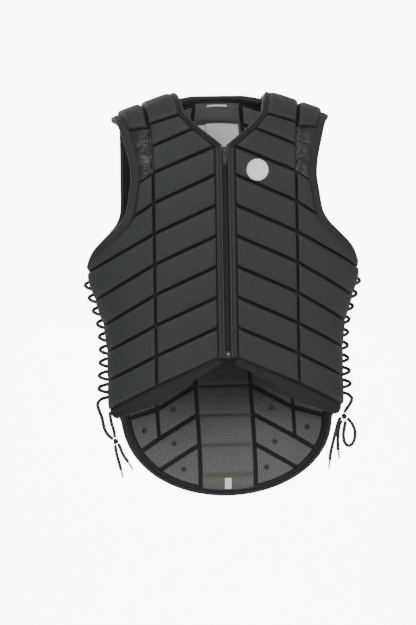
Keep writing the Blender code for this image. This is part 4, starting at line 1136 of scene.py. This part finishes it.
def make_finishes():
    finish("nylon", quilt_nylon, 0.58, sheen=0.05, depth=0.0004, strength=0.55)
    finish("satin", satin_nylon, 0.36, sheen=0.1, depth=0.0003, strength=0.4)
    finish("binding", ribbed_binding, 0.55, sheen=0.05, depth=0.0004, strength=0.6)
    finish("hem", ribbed_binding, 0.72, depth=0.0003, strength=0.4)
    finish("mesh", dotted_mesh, 0.8, sheen=0.1, depth=0.0008, strength=0.7)
    finish("white", white_weave, 0.75, sheen=0.1, depth=0.0003, strength=0.5)
    finish("lace", braided_lace, 0.65, sheen=0.05, depth=0.0005, strength=0.7)
    finish("tape", zip_tape, 0.6, sheen=0.1, depth=0.0003, strength=0.5)
    finish("coil", plain_finish(0.004, 0.014, WARM, 300.0), 0.42, depth=0.0002, strength=0.3)
    finish("steel", plain_finish(0.05, 0.16, WARM, 260.0), 0.32, metallic=0.95, depth=0.0001,
           strength=0.3)
    finish("brass", plain_finish(0.30, 0.50, (1.3, 0.95, 0.45), 260.0), 0.35, metallic=0.95,
           depth=0.0001, strength=0.3)
    finish("aglet", plain_finish(0.16, 0.28, COOL, 200.0), 0.35, coat=0.3, depth=0.0001,
           strength=0.2)
    finish("vent", plain_finish(0.012, 0.030, TAN, 200.0), 0.5, depth=0.0002, strength=0.3)
    finish("stage", plain_finish(0.90, 0.94, (1, 1, 1), 3.0), 0.9, depth=0.0001, strength=0.05)
    tree = FINISH["stage"].node_tree
    glow = tree.nodes["Principled BSDF"]
    x, y, z = (Wire(tree).where(axis) for axis in range(3))
    near = (abs(x - 0.37).below(1.15, 0.4) * abs(z + 0.333).below(1.55, 0.4)
            * (1 - y.below(3.6, 0.8)))
    behind = near.blend(grey(0.0), grey(1.0))
    tree.links.new(behind.socket, glow.inputs["Emission Color"])
    glow.inputs["Emission Strength"].default_value = STAGE_GLOW


def shoulder_pad(kind, label, side):
    """A plump pad over the crest of the shoulder, with soft pulls towards the neck."""
    columns, rows = 26, 70
    spots, edges = {}, {}
    for j in range(rows + 1):
        for i in range(columns + 1):
            share, round_share = mix(-0.03, 1.03, i / columns), mix(-0.006, 1.006, j / rows)
            spots[i, j] = pad_point(side, kind, share, round_share)
            edges[i, j] = (share, round_share)
    facts = seam_distances(spots, columns, rows, (0, columns), (0, rows), lambda i, j, beside: True)

    def outer(key):
        _, _, beside, above = facts[key]
        share, round_share = edges[key]
        pulled = quilted(beside, above, SEAM_WIDTH)
        pull = 0.0
        if kind == "inner":
            drift = noise.noise(spots[key][0] * 30.0)
            wave = math.sin(2 * math.pi * (1.6 * share + 6.0 * round_share + 0.5 * drift))
            pull = 0.0007 * wave * math.exp(-((round_share - 0.12) / 0.13) ** 2)
        return (GROOVE_DEPTH * pulled - 0.6 * cloth_waves(spots[key][0], min(beside, above))
                - pull * (1 - pulled))

    name = f"shoulder_pad_{kind}_{label}"
    made = closed_wall(f"plump_{kind}_pad_{label}", spots, columns, rows, facts, outer,
                       lambda key: FOAM, FINISH["nylon"], [name])


def gathered_insert(label, side):
    """Shiny puffed nylon in soft horizontal folds beside the armhole."""
    columns, rows = 30, 72
    spots, folds = {}, {}
    for j in range(rows + 1):
        at = (len(GATHERS) - 1) * j / rows
        inner_rows, outer_rows, start, end, height = curve_through(GATHERS, at)
        for i in range(columns + 1):
            share = mix(-0.07, 1.07, i / columns)
            x = mix(start, end, share) * CHEST_HALF
            z = -mix(inner_rows, outer_rows, share) * ROW_HEIGHT
            spots[i, j] = surface(side * x, z, FRONT)
            folds[i, j] = (share, height)
    facts = seam_distances(spots, columns, rows, (0, columns), (0, rows), lambda i, j, beside: True)

    def outer(key):
        share, height = folds[key]
        crown = math.sin(math.pi * min(max(share, 0.0), 1.0)) ** 0.6
        point = spots[key][0]
        slant = point.z + 0.35 * abs(point.x)
        crease = abs(noise.noise(Vector((point.x * 38, 0.0, slant * 130)))) - 0.2
        fine = noise.noise(Vector((point.x * 90, 4.0, slant * 300)))
        ridges = 0.0042 * crease + 0.0008 * fine
        return GATHER_THICK * (0.70 - 0.52 * crown * height) - ridges * crown

    made = closed_wall(f"gathers_{label}", spots, columns, rows, facts, outer, lambda key: FOAM,
                       FINISH["satin"], [f"gathered_insert_{label}"])


def strip_of_cloth(name, edges, rows, columns, count, outer, inner, material, nodes):
    """A vertical strip on the front; the insets are given at a share across it."""
    spots = {}
    for j in range(count + 1):
        z = -mix(rows[0], rows[1], j / count) * ROW_HEIGHT
        for i in range(columns + 1):
            spots[i, j] = surface(mix(edges[0], edges[1], i / columns), z, FRONT)
    facts = seam_distances(spots, columns, count, (0, columns), (), lambda i, j, beside: True)
    return closed_wall(name, spots, columns, count, facts, lambda key: outer(key[0] / columns),
                       lambda key: inner, material, nodes)


def zip_parts():
    """Tapes with a rolled edge that carries a painted highlight, the coil's teeth, and the pin of
    the bottom box.
    """
    top, foot = FRONT_LINES[2][1], FRONT_LINES[-1][1]
    inner_edge, outer_edge = COIL_HALF + 2 * GAP, ZIP_HALF + 0.0006

    def rolled(share):
        roll = 0.0016 * math.exp(-((share - 0.10) / 0.09) ** 2)
        ditch = 0.0010 * math.exp(-((share - 0.30) / 0.05) ** 2)
        ends = 0.0022 * (math.exp(-share / 0.04) + math.exp(-(1 - share) / 0.03))
        return 0.0034 - roll + ditch + ends

    strip_of_cloth("zip_tape_right", (inner_edge, outer_edge), (top, foot), 22, 110, rolled, 0.009,
                   FINISH["tape"], ["zip_facing_right"])
    strip_of_cloth("zip_tape_left", (-outer_edge, -inner_edge), (top, foot), 22, 110,
                   lambda share: rolled(1 - share), 0.009, FINISH["tape"],
                   ["zip_facing_left"])
    box_top = foot - ZIP_BOX_HEIGHT / ROW_HEIGHT
    strip_of_cloth("zip_teeth_bed", (-COIL_HALF, COIL_HALF), (top + 0.02, box_top - 0.01), 8, 90,
                   lambda share: 0.0068, 0.0085, FINISH["coil"], ["zip_coil"])
    teeth = bmesh.new()
    height = -(top + 0.30) * ROW_HEIGHT
    while height > -(box_top - 0.03) * ROW_HEIGHT:
        for side, shift in ((-1, 0.0), (1, 0.5)):
            point, out = surface(side * TOOTH_BESIDE, height - shift * TOOTH_PITCH, FRONT)
            turn = Matrix.Translation(point - out * 0.0064)
            size = Matrix.Diagonal((*TOOTH_SIZE, 1.0))
            bmesh.ops.create_cube(teeth, size=1.0, matrix=turn @ size)
        height -= TOOTH_PITCH
    bmesh.ops.bevel(teeth, geom=teeth.edges, offset=0.0003, segments=1, profile=0.5,
                    affect="EDGES", material=-1)
    keep("zip_teeth", teeth, FINISH["coil"])
    low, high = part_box("zip_bottom_box")
    pin = bmesh.new()
    place_pin = Matrix.Translation((0.0, low.y - 0.0001, 0.5 * (low.z + high.z) + 0.0006))
    forwards = Matrix.Rotation(math.radians(90), 4, "X")
    bmesh.ops.create_cone(pin, cap_ends=True, segments=24, radius1=0.0021, radius2=0.0017,
                          depth=0.0014, matrix=place_pin @ forwards)
    rims = [edge for edge in pin.edges if not edge.is_boundary and edge.calc_face_angle(0) > 1]
    bmesh.ops.bevel(pin, geom=rims, offset=0.0003, segments=2, profile=0.5, affect="EDGES",
                    material=-1)
    keep("zip_box_pin", pin, FINISH["brass"])
    for node in ("zip_slider", "zip_pull", "zip_bottom_box"):
        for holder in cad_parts[node].material_slots:
            holder.material = FINISH["steel"]


def chest_patch():
    """A round white patch with a raised stitched border, left bare."""
    centre_x, centre_z = PATCH_PLACE[0] * CHEST_HALF, -PATCH_PLACE[1] * ROW_HEIGHT
    sides, rings = 72, 16
    shape, around, outwards = grid(sides, rings)
    cloth = shape.loops.layers.uv.new("cloth")
    for face in shape.faces:
        for loop in face.loops:
            turn = 2 * math.pi * loop.vert[around] / sides
            reach = PATCH_HALF * loop.vert[outwards] / rings
            loop[cloth].uv = (reach * math.cos(turn), reach * math.sin(turn))
    seam = shape.verts.layers.float.new("seam")
    for vert in shape.verts:
        turn, share = 2 * math.pi * vert[around] / sides, vert[outwards] / rings
        border = max(0.0, 1 - abs(share - 0.93) / 0.08) ** 0.5
        lift = 0.0016 + 0.0009 * border - (0.0012 if vert[outwards] == rings else 0.0)
        vert[seam] = PATCH_HALF * (1 - share)
        point, out = surface(centre_x + PATCH_HALF * share * math.cos(turn),
                             centre_z + PATCH_HALF * share * math.sin(turn), FRONT)
        vert.co = point + out * lift
    bmesh.ops.remove_doubles(shape, verts=shape.verts, dist=1e-6)
    rim = [edge for edge in shape.edges if edge.is_boundary]
    grown = bmesh.ops.extrude_edge_only(shape, edges=rim)
    for item in grown["geom"]:
        if isinstance(item, bmesh.types.BMVert):
            item.co.y += 0.0012
    bmesh.ops.holes_fill(shape, edges=[edge for edge in shape.edges if edge.is_boundary], sides=0)
    made = keep("round_patch", shape, FINISH["white"], ["chest_patch"])


def inside_label(name, node, x_edges, z_edges, folded=False):
    """A bare woven label on the lining, with its hems turned under."""
    columns, rows = 24, 16
    spots = {}
    for j in range(rows + 1):
        for i in range(columns + 1):
            spots[i, j] = surface(mix(*x_edges, i / columns), mix(*z_edges, j / rows), BACK)
    facts = seam_distances(spots, columns, rows, (0, columns), (0, rows), lambda i, j, beside: True)
    base = FOAM + GAP + LINING + LINING_PUFF + 0.0004

    def inner(key):
        _, _, beside, above = facts[key]
        hem = math.exp(-(min(beside, above) / 0.0012) ** 2)
        wave = 0.0007 * noise.noise(spots[key][0] * 45.0)
        return base + 0.0009 + wave + (0.0009 if folded else 0.0) - 0.0004 * hem

    made = closed_wall(name, spots, columns, rows, facts, lambda key: base, inner, FINISH["white"],
                       [node])
    if folded:
        return
    flat = (abs(x_edges[1] - x_edges[0]), abs(z_edges[1] - z_edges[0]))


def labels():
    """Bare labels at the neck, the folded hanging loop above them and the tail's own label."""
    for name, (node, x_edges, below, height) in LABELS.items():
        top = -LABEL_ROWS * ROW_HEIGHT - below
        inside_label(name, node, x_edges, (top, top - height))
    top = HANGER_ROWS * ROW_HEIGHT
    inside_label("hanging_loop", "hanger_tag", (-HANGER_HALF, HANGER_HALF),
                 (top, top - HANGER_HEIGHT), True)
    foot = tail_edge(0.0) + TAIL_LABEL_LIFT
    inside_label("tail_label", "tail_tag", (-TAIL_LABEL_HALF, TAIL_LABEL_HALF),
                 (foot + TAIL_LABEL_HEIGHT, foot))


def vent_eyelets():
    """Small dark rings where the lining's foam is vented, in the tail."""
    shape = bmesh.new()
    for x, z in VENTS:
        point, out = surface(x - sway(-z / ROW_HEIGHT), z, BACK)
        centre = point - out * (FOAM + GAP + LINING + LINING_PUFF + 0.0002)
        turn = (-out).to_track_quat("Z", "Y").to_matrix().to_4x4()
        disc = bmesh.ops.create_cone(shape, cap_ends=True, segments=28, radius1=VENT_RADII[0],
                                     radius2=VENT_RADII[1], depth=VENT_HEIGHT,
                                     matrix=Matrix.Translation(centre) @ turn)
        tops = {face for vert in disc["verts"] for face in vert.link_faces
                if len(face.verts) > 4 and (face.calc_center_median() - centre).dot(out) < 0}
        bmesh.ops.inset_individual(shape, faces=list(tops), thickness=0.0012, depth=-0.0007)
    keep("vent_eyelets", shape, FINISH["vent"])


def cord_line(points, parts):
    """A smooth line through the points of a cord's route."""
    route = [Vector(point) for point in points]
    count = (len(route) - 1) * parts
    return [Vector(curve_through(route, number / parts)) for number in range(count + 1)]


def cord_frames(line):
    """A cord's centre with two directions across it, without a twist."""
    frames, across = [], Vector((0.0, 1.0, 0.0))
    for number, point in enumerate(line):
        ahead = (line[min(number + 1, len(line) - 1)] - line[max(number - 1, 0)]).normalized()
        across = (across - ahead * across.dot(ahead)).normalized()
        frames.append((point, across, ahead.cross(across)))
    return frames


def laid_cord(name, line, diameter, nodes, material="lace", sides=14, ends=0.75):
    frames = cord_frames(line)
    last = len(line) - 1

    def outline(share, station):
        turn = 2 * math.pi * share
        radius = 0.5 * diameter * (ends if station in (0, last) else 1.0)
        return radius * math.cos(turn), radius * math.sin(turn)

    return tube(name, frames, outline, sides, FINISH[material], nodes)


def side_lacing(label, side):
    """Scalloped cords along both edges and the lace that winds through them."""
    turn_height = (LACE_BOTTOM - LACE_TOP) / LACE_TURNS
    for facing, word in ((FRONT, "front"), (BACK, "back")):
        line, phase = [], 0.5 if facing == FRONT else 0.0
        for number in range(LACE_TURNS * SCALLOP_PARTS + 1):
            turns = number / SCALLOP_PARTS
            rows = LACE_TOP + (turns + phase - 0.5) * turn_height
            bow = abs(math.sin(math.pi * turns)) ** 0.7
            y = facing * mix(EYELET_ROOT, EYELET_TIP, bow)
            line.append(Vector((side * eyelet_line(rows), y, -rows * ROW_HEIGHT)))
        laid_cord(f"scallops_{word}_{label}", line, 1.3 * LOOP_CORD, [f"edge_loops_{word}_{label}"],
                  "lace", 10)
    line, parts = [], 24
    for number in range((LACE_TURNS * 6 - 4 - 1) * 4 + 1):
        turns = number / parts
        spread = 0.125 * (1 - math.cos(2 * math.pi * turns))
        rows = LACE_TOP + (turns + spread) * turn_height
        out = math.sin(2 * math.pi * turns)
        edge, middle = body_section(rows)[0], eyelet_line(rows)
        reach = edge + lace_bulge(turns / LACE_TURNS) - middle
        x = middle + (reach if out > 0 else LACE_INSIDE) * out
        y = LACE_REACH * math.cos(2 * math.pi * turns)
        line.append(Vector((side * x, y, -rows * ROW_HEIGHT)))
    tail = cord_line([tuple(line[-1])] + LACE_EXITS[label], CORD_PARTS)
    laid_cord(f"laced_{label}", line + tail[1:], 1.12 * LACE, [f"side_lace_{label}"])


def tied_knot(label):
    """A tight knot: one cord wound three times through itself."""
    line = []
    for number in range(121):
        turn = 2 * math.pi * number / 120
        reach = (2 + math.cos(3 * turn)) / 3
        loop = Vector((reach * math.cos(2 * turn), math.sin(3 * turn), reach * math.sin(2 * turn)))
        spread = Vector([radius - 0.0021 for radius in KNOT_RADII])
        line.append(Vector(KNOTS[label]) + Vector([a * b for a, b in zip(loop, spread)]))
    return laid_cord(f"tied_knot_{label}", line, 0.0042, [f"lace_knot_{label}"], sides=12, ends=1.0)


def aglet(label, points):
    """A clear grey tip with a rolled lip where it grips the lace."""
    end = Vector(points[-1])
    along = (end - Vector(points[-2])).normalized()
    start = end + along * GAP
    line = [start + along * (AGLET_LENGTH * share) for share in
            (0.0, 0.02, 0.06, 0.10, 0.5, 0.9, 0.96, 1.0)]
    widths = (1.1, 1.3, 1.3, 1.12, 1.1, 1.08, 0.95, 0.5)
    frames = cord_frames(line)

    def outline(share, station):
        turn, radius = 2 * math.pi * share, 0.5 * AGLET_DIAMETER * widths[station]
        return radius * math.cos(turn), radius * math.sin(turn)

    return tube(f"tip_{label}", frames, outline, 16, FINISH["aglet"],
                [f"aglet_{label}"])


def free_laces():
    """The knots, the free strand and bow, and the four ends with their tips."""
    knots = {label: tied_knot(label) for label in KNOTS}
    for name, points, label in (("lace_strand_left", LEFT_STRAND, "left"),
                                ("lace_bow_right", RIGHT_BOW, "right")):
        line = cord_line(points, CORD_PARTS)
        made = laid_cord(name.replace("lace", "free"), line, BRAID_SWELL * LACE, [name])
    ends = {"left_long": LEFT_LONG, "left_short": LEFT_SHORT,
            "right_long": RIGHT_LONG, "right_short": RIGHT_SHORT}
    for label, points in ends.items():
        line = cord_line(points, CORD_PARTS)
        made = laid_cord(f"free_end_{label}", line, BRAID_SWELL * LACE, [f"lace_end_{label}"])
        aglet(label, points)


def stage_and_light():
    """A pale floor that curves up into a backdrop, wide soft lights and a white surround."""
    shape = bmesh.new()
    bmesh.ops.create_grid(shape, x_segments=2, y_segments=24, size=0.5)
    for vert in shape.verts:
        share = vert.co.y + 0.5
        bend = min(max((share - 0.5) / 0.2, 0.0), 1.0) * math.pi / 2
        y = mix(-9.0, 5.2, min(share / 0.5, 1.0)) + STAGE_BEND * math.sin(bend)
        z = FLOOR + STAGE_BEND * (1.0 - math.cos(bend)) + max(share - 0.7, 0.0) * 20
        vert.co = Vector((vert.co.x * 16, y, z))
    bmesh.ops.recalc_face_normals(shape, faces=shape.faces)
    data = bpy.data.meshes.new("floor_and_backdrop")
    shape.to_mesh(data)
    shape.free()
    data.shade_smooth()
    data.materials.append(FINISH["stage"])
    floor = bpy.data.objects.new("floor_and_backdrop", data)
    bpy.context.scene.collection.objects.link(floor)
    for name, place_at, size, watts in LIGHTS:
        light = bpy.data.lights.new(name, "AREA")
        light.shape, light.size, light.energy = "DISK", size, watts
        holder = bpy.data.objects.new(name, light)
        holder.location = place_at
        aim = Vector(LIGHT_AIM) - Vector(place_at)
        holder.rotation_euler = aim.to_track_quat("-Z", "Y").to_euler()
        bpy.context.scene.collection.objects.link(holder)
    world = bpy.data.worlds.new("white_surround")
    world.use_nodes = True
    world.node_tree.nodes["Background"].inputs["Color"].default_value = (1, 1, 1, 1)
    world.node_tree.nodes["Background"].inputs["Strength"].default_value = WORLD
    bpy.context.scene.world = world


def add_camera():
    """The photograph's view: from the front, a little to the left, slightly rolled."""
    data = bpy.data.cameras.new("photo_camera")
    data.sensor_fit, data.sensor_height, data.lens = "VERTICAL", SENSOR, LENS
    data.clip_end = 50.0
    camera = bpy.data.objects.new("photo_camera", data)
    target = Vector(CAMERA_AIM)
    yaw = math.radians(CAMERA_YAW)
    away = Vector((-CAMERA_AWAY * math.sin(yaw), -CAMERA_AWAY * math.cos(yaw), 0.0))
    turn = (-away).to_track_quat("-Z", "Y").to_matrix().to_4x4()
    roll = Matrix.Rotation(math.radians(CAMERA_ROLL), 4, "Z")
    camera.matrix_world = Matrix.Translation(target + away) @ turn @ roll
    bpy.context.scene.collection.objects.link(camera)
    bpy.context.scene.camera = camera


def main():
    make_finishes()
    stage_and_light()
    add_camera()
    free_laces()
    for label, side in (("left", -1), ("right", 1)):
        side_lacing(label, side)
        front_panel(label, side)
        hem_and_side(label, side)
        armhole_band(label, side)
        gathered_insert(label, side)
        for kind in PADS:
            shoulder_pad(kind, label, side)
    back_walls()
    neck_binding()
    tail_binding()
    zip_parts()
    chest_patch()
    labels()
    vent_eyelets()


main()
